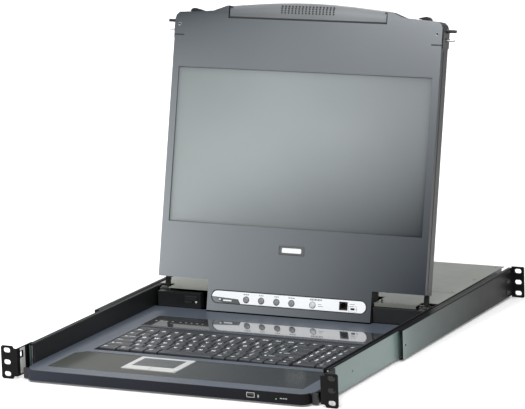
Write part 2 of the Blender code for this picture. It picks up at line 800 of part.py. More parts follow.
def make_rear():
    low, high = COVER
    e = COVER_HALF
    front = [
        (-e, SEAM_Y), (-e, 398), (-187.6, 398), (-187.6, 376), (-125, 376), (-125, 414.2),
        (125, 414.2), (125, 376), (187.6, 376), (187.6, 398), (e, 398), (e, SEAM_Y),
    ]
    lip = (rect(125.6, 187.0, 16.1, low + 0.4), "y", 376.0, 377.2)
    part("cover_front", (front, "z", low, high), COVER_OLIVE, adds=[lip])
    part("cover_back", (rect(-e, e, SEAM_Y + 0.9, COVER_END), "z", low, high), COVER_OLIVE)
    shells = []
    openings = []
    for number in range(8):
        x = -78.0 + 34.0 * number
        shells.append((rounded(x - 8.2, x + 8.2, -4.2, 4.2, 2.6, 3), "y", 630.0, 641.0))
        openings.append((rounded(x - 8.8, x + 8.8, -4.8, 4.8, 2.8, 3), "y", 633.0, 638.0))
    openings.append((rect(-198.4, -169.6, -10.4, 10.4), "y", 633.0, 638.0))
    openings.append((rect(-160.4, -145.6, -10.6, 10.6), "y", 633.0, 638.0))
    part(
        "rear_panel",
        (rect(-207.5, 207.5, -19.5, 19.1), "y", 634.3, 635.7),
        BLACK,
        holes=openings,
    )
    part(
        "port_block",
        (rect(-92.0, 174.0, -7.0, 6.5), "y", 618.0, 633.8),
        TIN,
        adds=shells,
    )
    pins = [rect(-191.5, -189.5, -3, 3), rect(-178.5, -176.5, -3, 3), rect(-185, -183, -2, 4)]
    part(
        "power_inlet",
        (rect(-198.0, -170.0, -10.0, 10.0), "y", 616.0, 636.4),
        BLACK,
        cuts=[(rounded(-195.8, -172.2, -7.8, 7.8, 2.0, 3), "y", 620.0, 638.0)],
        last=[(pin, "y", 619.0, 629.0) for pin in pins],
    )
    rocker = [(628.0, -9.0), (637.6, -9.8), (636.6, 0.0), (637.6, 9.8), (628.0, 9.0)]
    switch = part("power_switch", (rocker, "x", -159.6, -146.4), BLACK, origin=ROCKER_AT)
    switch.rotation_euler = (math.radians(-ROCKER_TILT), 0.0, 0.0)
    chips = [
        (rect(20, 56, 480, 516), "z", -14, -10.5), (rect(100, 128, 500, 528), "z", -14, -11),
        (rect(-60, -36, 470, 494), "z", -14, -8), (rect(60, 90, 560, 584), "z", -14, -10.5),
        (rect(150, 180, 450, 470), "z", -14, -6), (rect(-70, 170, 600, 612), "z", -14, -9),
    ]
    part("main_board", (rect(-95, 195, 435, 615), "z", -15.4, -13.8), BOARD, adds=chips)
    part("power_supply", (rect(-200, -110, 440, 600), "z", -16, 14), TIN, bevel=1.0)


for word, side in (("left", -1), ("right", 1)):
    make_rails(word, side)
    make_ear(word, side)
    make_bracket(word, side)
    make_hinge_side(word, side)
    make_arm(word, side)
    make_latch(word, side)
    make_guide_pin(word, side)

make_tray()
make_deck()
make_palm()
make_touchpad()
make_keyboard()
make_strip()
make_screen()
make_screen_back()
make_handle()
make_controls()
make_rear()
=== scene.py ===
import json
import math

import bmesh
import bpy
from mathutils import Matrix, Vector

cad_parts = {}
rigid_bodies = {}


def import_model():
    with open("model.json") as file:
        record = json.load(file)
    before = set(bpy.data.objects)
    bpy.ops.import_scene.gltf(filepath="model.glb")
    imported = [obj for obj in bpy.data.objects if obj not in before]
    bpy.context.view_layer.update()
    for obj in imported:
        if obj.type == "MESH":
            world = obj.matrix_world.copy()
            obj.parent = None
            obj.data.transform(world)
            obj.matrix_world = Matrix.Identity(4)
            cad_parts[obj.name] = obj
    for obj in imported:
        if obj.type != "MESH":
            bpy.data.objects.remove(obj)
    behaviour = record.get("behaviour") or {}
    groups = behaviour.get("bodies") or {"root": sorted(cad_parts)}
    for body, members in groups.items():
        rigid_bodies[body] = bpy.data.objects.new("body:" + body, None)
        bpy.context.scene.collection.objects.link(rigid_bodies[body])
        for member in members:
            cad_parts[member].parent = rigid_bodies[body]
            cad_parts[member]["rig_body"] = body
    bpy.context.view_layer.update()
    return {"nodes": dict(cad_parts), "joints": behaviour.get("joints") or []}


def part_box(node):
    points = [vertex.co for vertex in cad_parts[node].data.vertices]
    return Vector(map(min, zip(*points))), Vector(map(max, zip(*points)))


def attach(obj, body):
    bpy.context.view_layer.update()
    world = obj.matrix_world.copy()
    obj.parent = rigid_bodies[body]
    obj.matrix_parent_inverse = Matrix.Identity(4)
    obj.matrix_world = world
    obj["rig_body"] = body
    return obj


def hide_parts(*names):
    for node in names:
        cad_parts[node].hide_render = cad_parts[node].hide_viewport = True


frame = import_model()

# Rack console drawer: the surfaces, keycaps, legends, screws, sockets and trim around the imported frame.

NODES = frame["nodes"]
JOINTS = {joint["name"]: joint for joint in frame["joints"]}
MM = 0.001

# Two places in which shapes are drawn, both in millimetres.
# UNIT: X right, Y back from the front ears' face, Z up from the middle of the rack unit.
# MODULE: the raised screen, X right, Y into its face and Z up along it, from the hinge axis.
EAR_LOW, EAR_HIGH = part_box("ear_left")
PIVOT = Vector(JOINTS["screen_hinge"]["pos_m"])
INTO = Vector(JOINTS["button_1_press"]["axis"])
LEAN = math.atan2(-INTO.z, INTO.y)
UNIT = Matrix.Translation((0, EAR_LOW.y, (EAR_LOW.z + EAR_HIGH.z) / 2)) @ Matrix.Scale(MM, 4)
MODULE = Matrix.Translation(PIVOT) @ Matrix.Rotation(-LEAN, 4, "X") @ Matrix.Scale(MM, 4)


def node_box(name, place=UNIT):
    """A CAD node's lowest and highest corner, in one of the two places."""
    back = place.inverted()
    points = [back @ corner.co for corner in NODES[name].data.vertices]
    low = Vector([min(p[i] for p in points) for i in range(3)])
    high = Vector([max(p[i] for p in points) for i in range(3)])
    return low, high


FACE = node_box("screen_bezel", MODULE)[0].y
BACK = node_box("screen_back", MODULE)[1].y
HALF = node_box("screen_bezel", MODULE)[1].x
COVER_TOP = node_box("cover_back")[1].z
WALL_THICK = 1.2
WALL = node_box("tray")[1].x - WALL_THICK
RAIL_FACE = node_box("rail_right")[1].x
REAR_FACE = node_box("rear_panel")[1].y
PANEL_LOW, PANEL_HIGH = node_box("control_panel", MODULE)
HINGE_Y = 387.8
SIDES = ((-1, "left"), (1, "right"))


# ---------------------------------------------------------------- materials

def nodes_of(name):
    made = bpy.data.materials.new(name)
    made.use_nodes = True
    return made, made.node_tree.nodes, made.node_tree.links


def ramp(nodes, links, source, low, high):
    """A change of colour over the middle of a noise's range."""
    made = nodes.new("ShaderNodeValToRGB")
    made.color_ramp.elements[0].position = 0.3
    made.color_ramp.elements[1].position = 0.7
    made.color_ramp.elements[0].color = (*low, 1.0)
    made.color_ramp.elements[1].color = (*high, 1.0)
    links.new(source, made.inputs["Fac"])
    return made.outputs["Color"]


def noise(nodes, links, space, scale, detail=3.0, rough=0.5):
    made = nodes.new("ShaderNodeTexNoise")
    made.inputs["Scale"].default_value = scale
    made.inputs["Detail"].default_value = detail
    made.inputs["Roughness"].default_value = rough
    links.new(space, made.inputs["Vector"])
    return made.outputs["Fac"]


def worn(nodes, links, base, colour, wear):
    """The base colour with lighter edges, by an amount from 0 to 1."""
    edges = nodes.new("ShaderNodeNewGeometry")
    mask = nodes.new("ShaderNodeMapRange")
    mask.inputs["From Min"].default_value = 0.52
    mask.inputs["From Max"].default_value = 0.62
    mask.inputs["To Max"].default_value = wear
    links.new(edges.outputs["Pointiness"], mask.inputs["Value"])
    mix = nodes.new("ShaderNodeMix")
    mix.data_type = "RGBA"
    mix.inputs["B"].default_value = (*[min(1.0, c * 2.2 + 0.03) for c in colour], 1.0)
    links.new(mask.outputs["Result"], mix.inputs["Factor"])
    links.new(base, mix.inputs["A"])
    return mix.outputs["Result"]


ROUGH_SPREAD = 0.06


def surface(
    name, colour, rough, metallic=0.0, grain_and_painted_light=0.15, grain_size=0.5, spread=0.08, stretch=(1, 1, 1),
    coat=0.0, level=0.5, wear=0.0, coat_rough=0.05,
):
    """A finish: fine grain in the bump, slow changes of colour and gloss, lighter worn edges."""
    made, nodes, links = nodes_of(name)
    shader = nodes["Principled BSDF"]
    shader.inputs["Metallic"].default_value = metallic
    shader.inputs["Coat Weight"].default_value = coat
    shader.inputs["Coat Roughness"].default_value = coat_rough
    shader.inputs["Specular IOR Level"].default_value = level
    place = nodes.new("ShaderNodeTexCoord")
    turn = nodes.new("ShaderNodeMapping")
    turn.inputs["Scale"].default_value = stretch
    links.new(place.outputs["Object"], turn.inputs["Vector"])
    space = turn.outputs["Vector"]
    slow = noise(nodes, links, place.outputs["Object"], 9.0, 4.0)
    dark = [c * (1 - spread) for c in colour]
    light = [min(1.0, c * (1 + spread)) for c in colour]
    base = ramp(nodes, links, slow, dark, light)
    if wear:
        base = worn(nodes, links, base, colour, wear)
    links.new(base, shader.inputs["Base Color"])
    middle = noise(nodes, links, space, 60.0, 3.0)
    gloss = nodes.new("ShaderNodeMapRange")
    gloss.inputs["To Min"].default_value = max(0.02, rough - ROUGH_SPREAD)
    gloss.inputs["To Max"].default_value = min(1.0, rough + ROUGH_SPREAD)
    links.new(middle, gloss.inputs["Value"])
    links.new(gloss.outputs["Result"], shader.inputs["Roughness"])
    if grain_and_painted_light:
        fine = noise(nodes, links, space, 1.0 / (grain_size * MM), 2.0, 0.6)
        bump = nodes.new("ShaderNodeBump")
        bump.inputs["Strength"].default_value = grain_and_painted_light
        bump.inputs["Distance"].default_value = 0.1 * MM
        links.new(fine, bump.inputs["Height"])
        links.new(bump.outputs["Normal"], shader.inputs["Normal"])
    return made


def across(left, right):
    """Corner tones of painted light for a change from left to right only."""
    return left, right, left, right


def tone_mix(nodes, links, share, near, far):
    """A mix of two colours, each a value or another node's output, by a share from 0 to 1."""
    mix = nodes.new("ShaderNodeMix")
    mix.data_type = "RGBA"
    links.new(share, mix.inputs["Factor"])
    for socket, tone in (("A", near), ("B", far)):
        if isinstance(tone, tuple):
            mix.inputs[socket].default_value = (*tone, 1.0)
        else:
            links.new(tone, mix.inputs[socket])
    return mix.outputs["Result"]


def painted_sheen(material, painted_light_tones, low, high, bend_side=1.0, bend_z=1.0, side="X"):
    """Painted light and reflection: a slow change of tone over a face, between four corner tones: top left
    and right, low left and right.

    low and high are the face's opposite corners, in metres along the side axis and Z. The bends are
    powers that move the change towards one edge. The tones multiply the finish that is there.
    """
    nodes, links = material.node_tree.nodes, material.node_tree.links
    shader = nodes["Principled BSDF"]
    place = nodes.new("ShaderNodeTexCoord")
    split = nodes.new("ShaderNodeSeparateXYZ")
    links.new(place.outputs["Object"], split.inputs["Vector"])
    shares = []
    for axis, start, end, power in ((side, low[0], high[0], bend_side), ("Z", high[1], low[1], bend_z)):
        span = nodes.new("ShaderNodeMapRange")
        span.inputs["From Min"].default_value = start
        span.inputs["From Max"].default_value = end
        links.new(split.outputs[axis], span.inputs["Value"])
        curve = nodes.new("ShaderNodeMath")
        curve.operation = "POWER"
        curve.inputs[1].default_value = power
        links.new(span.outputs["Result"], curve.inputs[0])
        shares.append(curve.outputs["Value"])
    top = tone_mix(nodes, links, shares[0], *painted_light_tones[:2])
    bottom = tone_mix(nodes, links, shares[0], *painted_light_tones[2:])
    blend = tone_mix(nodes, links, shares[1], top, bottom)
    # This mix lays the painted light and reflection over the finish's own grained colour.
    grain_and_painted_light = nodes.new("ShaderNodeMix")
    grain_and_painted_light.data_type = "RGBA"
    grain_and_painted_light.blend_type = "MULTIPLY"
    grain_and_painted_light.inputs["Factor"].default_value = 1.0
    links.new(blend, grain_and_painted_light.inputs["A"])
    links.new(shader.inputs["Base Color"].links[0].from_socket, grain_and_painted_light.inputs["B"])
    links.new(grain_and_painted_light.outputs["Result"], shader.inputs["Base Color"])
    return material


BLACK_PAINT = surface(
    "black_paint", (0.01, 0.0105, 0.011), 0.34, grain_and_painted_light=0.14, grain_size=0.6, wear=0.2, level=0.35,
)
EAR_PAINT = surface(
    "ear_paint", (0.006, 0.006, 0.0065), 0.42, grain_and_painted_light=0.3, grain_size=0.5, wear=0.05, level=0.08,
)
# Painted reflection: the rails are near-black like the ears; their sides get a grey-green tone standing in
# for the bright floor they mirror, changing along the rail and lighter towards the bottom.
RAIL_PAINTED_REFLECTION = painted_sheen(
    surface("rail_painted_reflection", (0.95, 0.95, 0.95), 0.34, grain_and_painted_light=0.08, wear=0.1),
    ((0.1, 0.147, 0.138), (0.12, 0.17, 0.162), (0.13, 0.188, 0.178), (0.16, 0.22, 0.21)),
    (-0.3, 0.002), (-0.05, 0.042), side="Y",
)
# Painted reflection: grey-green at the brackets' front end, fading to black towards the rear where the black
# ear is mirrored.
BRACKET_PAINTED_REFLECTION = painted_sheen(
    surface("bracket_painted_reflection", (0.95, 0.95, 0.95), 0.34, grain_and_painted_light=0.08, wear=0.1, level=0.1),
    ((0.19, 0.24, 0.232), (0.007, 0.0075, 0.0075), (0.23, 0.29, 0.28), (0.01, 0.011, 0.011)),
    (-0.07, 0.002), (0.2, 0.042), 0.4, side="Y",
)
BLACK_PLASTIC = surface("black_plastic", (0.019, 0.02, 0.023), 0.36, grain_and_painted_light=0.15, grain_size=0.4)
ZINC = surface("zinc", (0.62, 0.63, 0.64), 0.3, metallic=1.0, grain_and_painted_light=0.12, stretch=(1, 0.08, 1))
SLATE = surface("slate_plastic", (0.066, 0.079, 0.101), 0.36, grain_and_painted_light=0.12, grain_size=0.35)
# Painted reflection: the palm rest is lighter at the left, where it mirrors the screen's bright lower
# corner, and dark at the right.
PALM_PAINTED_REFLECTION = painted_sheen(
    surface("palm_gloss", (0.95, 0.95, 0.95), 0.17, grain_and_painted_light=0.05, coat=0.2, coat_rough=0.12, level=0.35),
    across((0.064, 0.069, 0.062), (0.008, 0.01, 0.011)),
    (-0.17, 0.0), (0.1, 0.05),
)
# Painted light: the cover is lighter at the left and darker at the right.
COVER_PAINTED_LIGHT = painted_sheen(
    surface("cover_paint", (0.95, 0.95, 0.95), 0.5, grain_and_painted_light=0.2, wear=0.1, level=0.4),
    across((0.28, 0.3, 0.265), (0.145, 0.156, 0.138)),
    (-0.21, 0.0), (0.21, 0.05),
)
# Painted light: the handle is darker at the left and lighter at the right.
HANDLE_PAINTED_LIGHT = painted_sheen(
    surface("handle_painted_light", (0.9, 0.9, 0.9), 0.42, grain_and_painted_light=0.08, level=0.4),
    across((0.1, 0.108, 0.114), (0.19, 0.2, 0.21)),
    (-0.12, 0.35), (0.06, 0.45),
)
MODULE_PAINT = surface("module_paint", (0.09, 0.095, 0.1), 0.42, metallic=0.2, grain_and_painted_light=0.08, wear=0.15)
LOW_EDGE = (MODULE @ Vector((-HALF, FACE, 18.6))).xz
HIGH_EDGE = (MODULE @ Vector((HALF, FACE, 388.0))).xz
GLASS_LOW, GLASS_HIGH = [corner.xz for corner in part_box("screen_glass")]
# Painted reflection and light: the bezel's front is dark at the top left and low right, light at the top
# right and low left.
BEZEL_PAINTED_REFLECTION = painted_sheen(
    surface("bezel_painted_reflection", (0.9, 0.9, 0.9), 0.5, grain_and_painted_light=0.08, spread=0.03, level=0.25),
    ((0.02, 0.028, 0.036), (0.255, 0.273, 0.29), (0.3, 0.325, 0.343), (0.018, 0.024, 0.033)),
    LOW_EDGE, HIGH_EDGE, 1.0, 0.55,
)
# Painted reflection and light: the glass is brightest at the low left, mid grey along the top and dark at
# the low right.
SCREEN_PAINTED_REFLECTION = painted_sheen(
    surface("screen_glass", (0.92, 0.92, 0.92), 0.55, grain_and_painted_light=0.05, spread=0.02, level=0.2),
    ((0.255, 0.286, 0.288), (0.21, 0.228, 0.238), (0.6, 0.655, 0.66), (0.046, 0.053, 0.06)),
    GLASS_LOW, GLASS_HIGH, 1.2, 1.7,
)
# Painted reflection: the front bar is dark slate at the left, fading to black at the right.
TRIM_PAINTED_REFLECTION = painted_sheen(
    surface("trim_painted_reflection", (0.9, 0.9, 0.9), 0.4, grain_and_painted_light=0.1, level=0.06),
    across((0.036, 0.041, 0.055), (0.007, 0.007, 0.008)),
    (-0.2, 0.0), (0.2, 0.05), 0.6,
)
SILVER = surface("silver_plastic", (0.5, 0.51, 0.5), 0.36, metallic=0.1, grain_and_painted_light=0.04)
WHITE_PANEL = surface("white_panel", (0.93, 0.95, 0.97), 0.42, grain_and_painted_light=0.06, spread=0.02)
BUTTON_GREY = surface("button_grey", (0.24, 0.25, 0.26), 0.4, grain_and_painted_light=0.15)
PALE_BUTTON = surface("pale_button", (0.62, 0.64, 0.66), 0.45, grain_and_painted_light=0.05, spread=0.02)
KEY_BLACK = surface("key_black", (0.023, 0.026, 0.031), 0.42, grain_and_painted_light=0.3, grain_size=0.25)
PAD_BLACK = surface("pad_black", (0.06, 0.066, 0.07), 0.4, grain_and_painted_light=0.35, grain_size=0.3)
GLOSS = surface("gloss_strip", (0.045, 0.048, 0.05), 0.07, grain_and_painted_light=0.0, coat=1.0, coat_rough=0.02)
BOARD = surface("circuit_board", (0.02, 0.14, 0.06), 0.45, grain_and_painted_light=0.2)
TIN = surface("tinned_steel", (0.55, 0.55, 0.54), 0.32, metallic=1.0, grain_and_painted_light=0.15)
DARK_STEEL = surface("dark_steel", (0.035, 0.035, 0.036), 0.35, metallic=0.5, grain_and_painted_light=0.1)
STEEL = surface("screw_steel", (0.16, 0.16, 0.17), 0.35, metallic=0.9, grain_and_painted_light=0.1)
GOLD = surface("contact_gold", (0.6, 0.42, 0.16), 0.25, metallic=1.0, grain_and_painted_light=0.05)
GREEN = surface("green_light", (0.12, 0.3, 0.15), 0.25, grain_and_painted_light=0.05)
PRINT = surface("white_print", (0.86, 0.88, 0.88), 0.5, grain_and_painted_light=0.1)
GREY_PRINT = surface("grey_print", (0.3, 0.31, 0.32), 0.5, grain_and_painted_light=0.1)
DARK = surface("dark_gap", (0.02, 0.021, 0.023), 0.5, grain_and_painted_light=0.1)
TAB_GREY = surface("tab_grey", (0.1, 0.105, 0.112), 0.4, grain_and_painted_light=0.1)
MODULE_RIM = surface("module_rim", (0.42, 0.43, 0.44), 0.3, metallic=0.7, grain_and_painted_light=0.05)
MODULE_BLACK = surface("module_black", (0.02, 0.021, 0.023), 0.36, grain_and_painted_light=0.1, wear=0.2, level=0.3)
BLUE = surface("socket_blue", (0.02, 0.06, 0.3), 0.4, grain_and_painted_light=0.2)
LABEL = surface("blank_label", (0.66, 0.67, 0.66), 0.45, grain_and_painted_light=0.05)


# ---------------------------------------------------------------- mesh tools

SWEEP = {
    "x": Matrix(((0, 0, 1), (1, 0, 0), (0, 1, 0))).to_4x4(),
    "y": Matrix(((1, 0, 0), (0, 0, 1), (0, 1, 0))).to_4x4(),
    "z": Matrix.Identity(4),
}


def rounded(a0, a1, b0, b1, radius, steps=5):
    """A rectangle's outline with round corners."""
    corners = (
        (a1 - radius, b0 + radius, -90), (a1 - radius, b1 - radius, 0),
        (a0 + radius, b1 - radius, 90), (a0 + radius, b0 + radius, 180),
    )
    outline = []
    for a, b, start in corners:
        for i in range(steps + 1):
            turn = math.radians(start + 90 * i / steps)
            outline.append((a + radius * math.cos(turn), b + radius * math.sin(turn)))
    return outline


def slab(mesh, outline, axis, low, high, slot=0):
    """An outline swept along an axis."""
    place = SWEEP[axis]
    corners = [mesh.verts.new(place @ Vector((a, b, low))) for a, b in outline]
    face = mesh.faces.new(corners)
    swept = bmesh.ops.extrude_face_region(mesh, geom=[face])["geom"]
    far = [item for item in swept if isinstance(item, bmesh.types.BMVert)]
    bmesh.ops.translate(mesh, verts=far, vec=place @ Vector((0, 0, high - low)))
    for vert in corners:
        for side in vert.link_faces:
            side.material_index = slot
    for vert in far:
        for side in vert.link_faces:
            side.material_index = slot


def block(mesh, x0, x1, y0, y1, z0, z1, slot=0):
    slab(mesh, [(x0, y0), (x1, y0), (x1, y1), (x0, y1)], "z", z0, z1, slot)


def lathe(mesh, profile, place, steps=20, slot=0):
    """A profile of (radius, height) turned about Z, closed at both ends, then set in place."""
    rings = []
    for radius, height in profile:
        if radius < 1e-6:
            rings.append([mesh.verts.new(place @ Vector((0, 0, height)))])
            continue
        turns = [2 * math.pi * i / steps for i in range(steps)]
        ring = [Vector((radius * math.cos(t), radius * math.sin(t), height)) for t in turns]
        rings.append([mesh.verts.new(place @ point) for point in ring])
    for low, high in zip(rings, rings[1:]):
        for i in range(steps):
            j = (i + 1) % steps
            loop = [low[i % len(low)], low[j % len(low)], high[j % len(high)], high[i % len(high)]]
            kept = list(dict.fromkeys(loop))
            if len(kept) > 2:
                mesh.faces.new(kept).material_index = slot
    for ring in (rings[0], rings[-1]):
        if len(ring) > 2:
            mesh.faces.new(ring).material_index = slot


def hoop(mesh, profile, place, steps):
    """A closed profile of (radius, height) turned about Z into a ring."""
    turns = [2 * math.pi * i / steps for i in range(steps)]
    rings = []
    for radius, height in profile:
        points = [Vector((radius * math.cos(t), radius * math.sin(t), height)) for t in turns]
        rings.append([mesh.verts.new(place @ point) for point in points])
    for k in range(len(rings)):
        near, far = rings[k], rings[(k + 1) % len(rings)]
        for i in range(steps):
            j = (i + 1) % steps
            mesh.faces.new((near[i], near[j], far[j], far[i]))


def facing(point, axis, flip=False):
    """A frame at a point whose Z runs along an axis of the place, for turned shapes."""
    turns = {"x": Matrix.Rotation(math.pi / 2, 4, "Y"), "y": Matrix.Rotation(-math.pi / 2, 4, "X"),
             "z": Matrix.Identity(4)}
    back = Matrix.Rotation(math.pi, 4, "X") if flip else Matrix.Identity(4)
    return Matrix.Translation(point) @ turns[axis] @ back


def piece(name, mesh, skins, body, place=UNIT, bevel=0.0, segments=2, angle=35, smooth=True):
    """A finished bmesh as a piece that rides on a body."""
    bmesh.ops.recalc_face_normals(mesh, faces=mesh.faces)
    bmesh.ops.transform(mesh, matrix=place, verts=mesh.verts)
    data = bpy.data.meshes.new(name)
    mesh.to_mesh(data)
    mesh.free()
    for skin in skins if isinstance(skins, (list, tuple)) else [skins]:
        data.materials.append(skin)
    if smooth:
        data.shade_smooth()
        data.set_sharp_from_angle(angle=math.radians(angle))
    made = bpy.data.objects.new(name, data)
    bpy.context.scene.collection.objects.link(made)
    if bevel:
        round_edges(made, bevel, segments, angle)
    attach(made, body)
    return made


def round_edges(target, width, segments=2, angle=35):
    step = target.modifiers.new("edges", "BEVEL")
    step.width = width * MM
    step.segments = segments
    step.limit_method = "ANGLE"
    step.angle_limit = math.radians(angle)
    step.use_clamp_overlap = True
    step.harden_normals = True


def soften(name, width, skin, segments=2, smooth=True):
    """A CAD node with its finish, its flat faces whole again and its edges rounded."""
    node = NODES[name]
    data = node.data
    if "custom_normal" in data.attributes:
        data.attributes.remove(data.attributes["custom_normal"])
    data.materials.clear()
    data.materials.append(skin)
    if smooth:
        data.shade_smooth()
    else:
        data.shade_flat()
    weld = node.modifiers.new("weld", "WELD")
    weld.merge_threshold = 0.002 * MM
    flat = node.modifiers.new("flat", "DECIMATE")
    flat.decimate_type = "DISSOLVE"
    flat.angle_limit = math.radians(0.5)
    if width:
        round_edges(node, width, segments)
        node.modifiers["edges"].harden_normals = smooth


TURNED = 0.7        # how far a face's normal leans along an axis before the face counts as facing it


def repaint(name, skin, chosen):
    """A finish of its own for the CAD node's faces whose normal is chosen."""
    data = NODES[name].data
    data.materials.append(skin)
    for polygon in data.polygons:
        if chosen(polygon.normal):
            polygon.material_index = len(data.materials) - 1


def back_of(name, axis, skin, low=TURNED):
    """The faces of a CAD node that look along an axis, either way, in a finish of their own."""
    number = "xyz".index(axis)
    repaint(name, skin, lambda normal: abs(normal[number]) > low)


def sides_of(name, skin):
    """A module node's faces other than its front, in a finish of their own."""
    repaint(name, skin, lambda normal: normal.dot(INTO) > -TURNED)


# ---------------------------------------------------------------- screws

def screw_head(mesh, point, axis, flip, radius, height):
    """A pan head in the first finish and the dark cross let into it in the second."""
    place = facing(point, axis, flip)
    rim = [(radius, 0.0), (radius, height * 0.45), (radius * 0.9, height * 0.8),
           (radius * 0.62, height)]
    lathe(mesh, [(0.0, 0.0)] + rim + [(0.0, height)], place, 18)
    arm, half = radius * 0.5, radius * 0.13
    cross = [
        (half, half), (arm, half), (arm, -half), (half, -half), (half, -arm), (-half, -arm),
        (-half, -half), (-arm, -half), (-arm, half), (-half, half), (-half, arm), (half, arm),
    ]
    corners = [mesh.verts.new(place @ Vector((a, b, height + 0.03))) for a, b in cross]
    face = mesh.faces.new(corners)
    swept = bmesh.ops.extrude_face_region(mesh, geom=[face])["geom"]
    low = [item for item in swept if isinstance(item, bmesh.types.BMVert)]
    bmesh.ops.translate(mesh, verts=low, vec=place.to_3x3() @ Vector((0, 0, -0.2)))
    for vert in corners + low:
        for side in vert.link_faces:
            side.material_index = 1


def screws(name, places, body, skin=STEEL, place=UNIT, radius=2.6, height=1.1):
    """Screw heads in one piece: each place is a point, the axis it faces and whether it is turned back."""
    mesh = bmesh.new()
    for point, axis, flip in places:
        screw_head(mesh, point, axis, flip, radius, height)
    piece(name, mesh, [skin, DARK], body, place)


# ---------------------------------------------------------------- keyboard

def key_tops(name):
    """The keycaps' top faces in a CAD block, as rows of rectangles from the front and the left."""
    data = NODES[name].data
    back = UNIT.inverted()
    points = [back @ vert.co for vert in data.vertices]
    top = max(point.z for point in points)
    spans = []
    for polygon in data.polygons:
        corners = [points[i] for i in polygon.vertices]
        if min(corner.z for corner in corners) < top - 0.05:
            continue
        spans.append([(round(c.x, 2), round(c.y, 2)) for c in corners])
    groups = []
    for corners in spans:
        touching = [g for g in groups if any(c in g for c in corners)]
        merged = set(corners).union(*touching)
        groups = [g for g in groups if g not in touching] + [merged]
    boxes = []
    for group in groups:
        xs = [c[0] for c in group]
        ys = [c[1] for c in group]
        boxes.append((min(xs), max(xs), min(ys), max(ys)))
    rows = {}
    for box in boxes:
        rows.setdefault(round(box[2]), []).append(box)
    return [sorted(rows[key]) for key in sorted(rows)], top


def keycap(mesh, box, foot, top):
    """A cap with round corners, sloping sides and a dished top."""
    x0, x1, y0, y1 = box
    middle = Vector(((x0 + x1) / 2, (y0 + y1) / 2, 0))
    levels = ((0.0, foot), (0.1, top - 1.2), (0.55, top - 0.3), (1.0, top), (2.6, top - 0.12))
    rings = []
    for inset, height in levels:
        radius = 1.4 if inset < 2 else 0.9
        outline = rounded(x0 + inset, x1 - inset, y0 + inset, y1 - inset, radius, 3)
        rings.append([mesh.verts.new((a, b, height)) for a, b in outline])
    for low, high in zip(rings, rings[1:]):
        count = len(low)
        for i in range(count):
            j = (i + 1) % count
            mesh.faces.new((low[i], low[j], high[j], high[i]))
    mesh.faces.new(list(reversed(rings[0])))
    centre = mesh.verts.new((middle.x, middle.y, top - 0.2))
    last = rings[-1]
    for i in range(len(last)):
        mesh.faces.new((last[i], last[(i + 1) % len(last)], centre))


def glyph(text, size):
    """One legend as flat mesh points and faces, centred on its middle."""
    curve = bpy.data.curves.new("glyph", "FONT")
    curve.body = text
    curve.size = size
    curve.resolution_u = 2
    curve.extrude = 0.03
    curve.offset = 0.035 * size
    holder = bpy.data.objects.new("glyph", curve)
    bpy.context.scene.collection.objects.link(holder)
    bpy.context.view_layer.update()
    shown = holder.evaluated_get(bpy.context.evaluated_depsgraph_get())
    data = bpy.data.meshes.new_from_object(shown)
    points = [Vector(v.co) for v in data.vertices]
    faces = [list(p.vertices) for p in data.polygons]
    bpy.data.objects.remove(holder)
    bpy.data.curves.remove(curve)
    bpy.data.meshes.remove(data)
    low = Vector([min(p[i] for p in points) for i in range(3)])
    high = Vector([max(p[i] for p in points) for i in range(3)])
    shift = Vector(((low.x + high.x) / 2, (low.y + high.y) / 2, low.z))
    return [p - shift for p in points], faces


def stamp(mesh, shape, point):
    """A legend's faces added with its middle at a point."""
    points, faces = shape
    verts = [mesh.verts.new(Vector(point) + p) for p in points]
    for face in faces:
        mesh.faces.new([verts[i] for i in face])


def arrow_mark(mesh, x, y, z, size, turn):
    """A solid triangle with a stem, the usual sign on shift, enter and tab keys."""
    shape = [(0, 1), (-0.9, 0), (-0.35, 0), (-0.35, -0.8), (0.35, -0.8), (0.35, 0), (0.9, 0)]
    c, s = math.cos(turn), math.sin(turn)
    outline = [(x + size * (a * c - b * s), y + size * (a * s + b * c)) for a, b in shape]
    slab(mesh, outline, "z", z, z + 0.05)


def bar_mark(mesh, x, y, z, length, width):
    """A plain bar in place of small print."""
    block(mesh, x - length / 2, x + length / 2, y - width / 2, y + width / 2, z, z + 0.05)


LEGENDS = {
    "keys_main": (
        ("up", *"ZXCVBNM,./", "up", "bar"),
        ("lock", *"ASDFGHJKL;'", "enter"),
        ("tab", *"QWERTYUIOP[]\\"),
        ("bar", *"`1234567890-=", "back"),
    ),
    "keys_function": (("Esc", "F1", "F2", "F3", "F4", "F5", "F6", "F7", "F8", "F9", "F10", "F11",
                       "F12", "bar", "bar"),),
    "keys_bottom_left": (("bar", "bar", "bar", "bar"),),
    "key_space": ((" ",),),
    "keys_bottom_right": (("bar", "bar", "bar"),),
    "keys_arrow": (("left", "down", "right"),),
    "keys_number": (("0", "."), *(tuple(row) for row in ("123", "456", "789", "/*-")),
                    ("bar", "bar", "bar")),
}
TURNS = {"up": 0.0, "left": math.pi / 2, "down": math.pi, "right": -math.pi / 2,
         "back": math.pi / 2, "tab": -math.pi / 2, "enter": math.pi / 2}
KEY_BODIES = {name: node["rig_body"] for name, node in NODES.items() if name in LEGENDS}
SHAPES = {}


def shape_of(text, size):
    """A legend's shape, worked out once for each text and size."""
    key = (text, size)
    if key not in SHAPES:
        SHAPES[key] = glyph(text, size)
    return SHAPES[key]


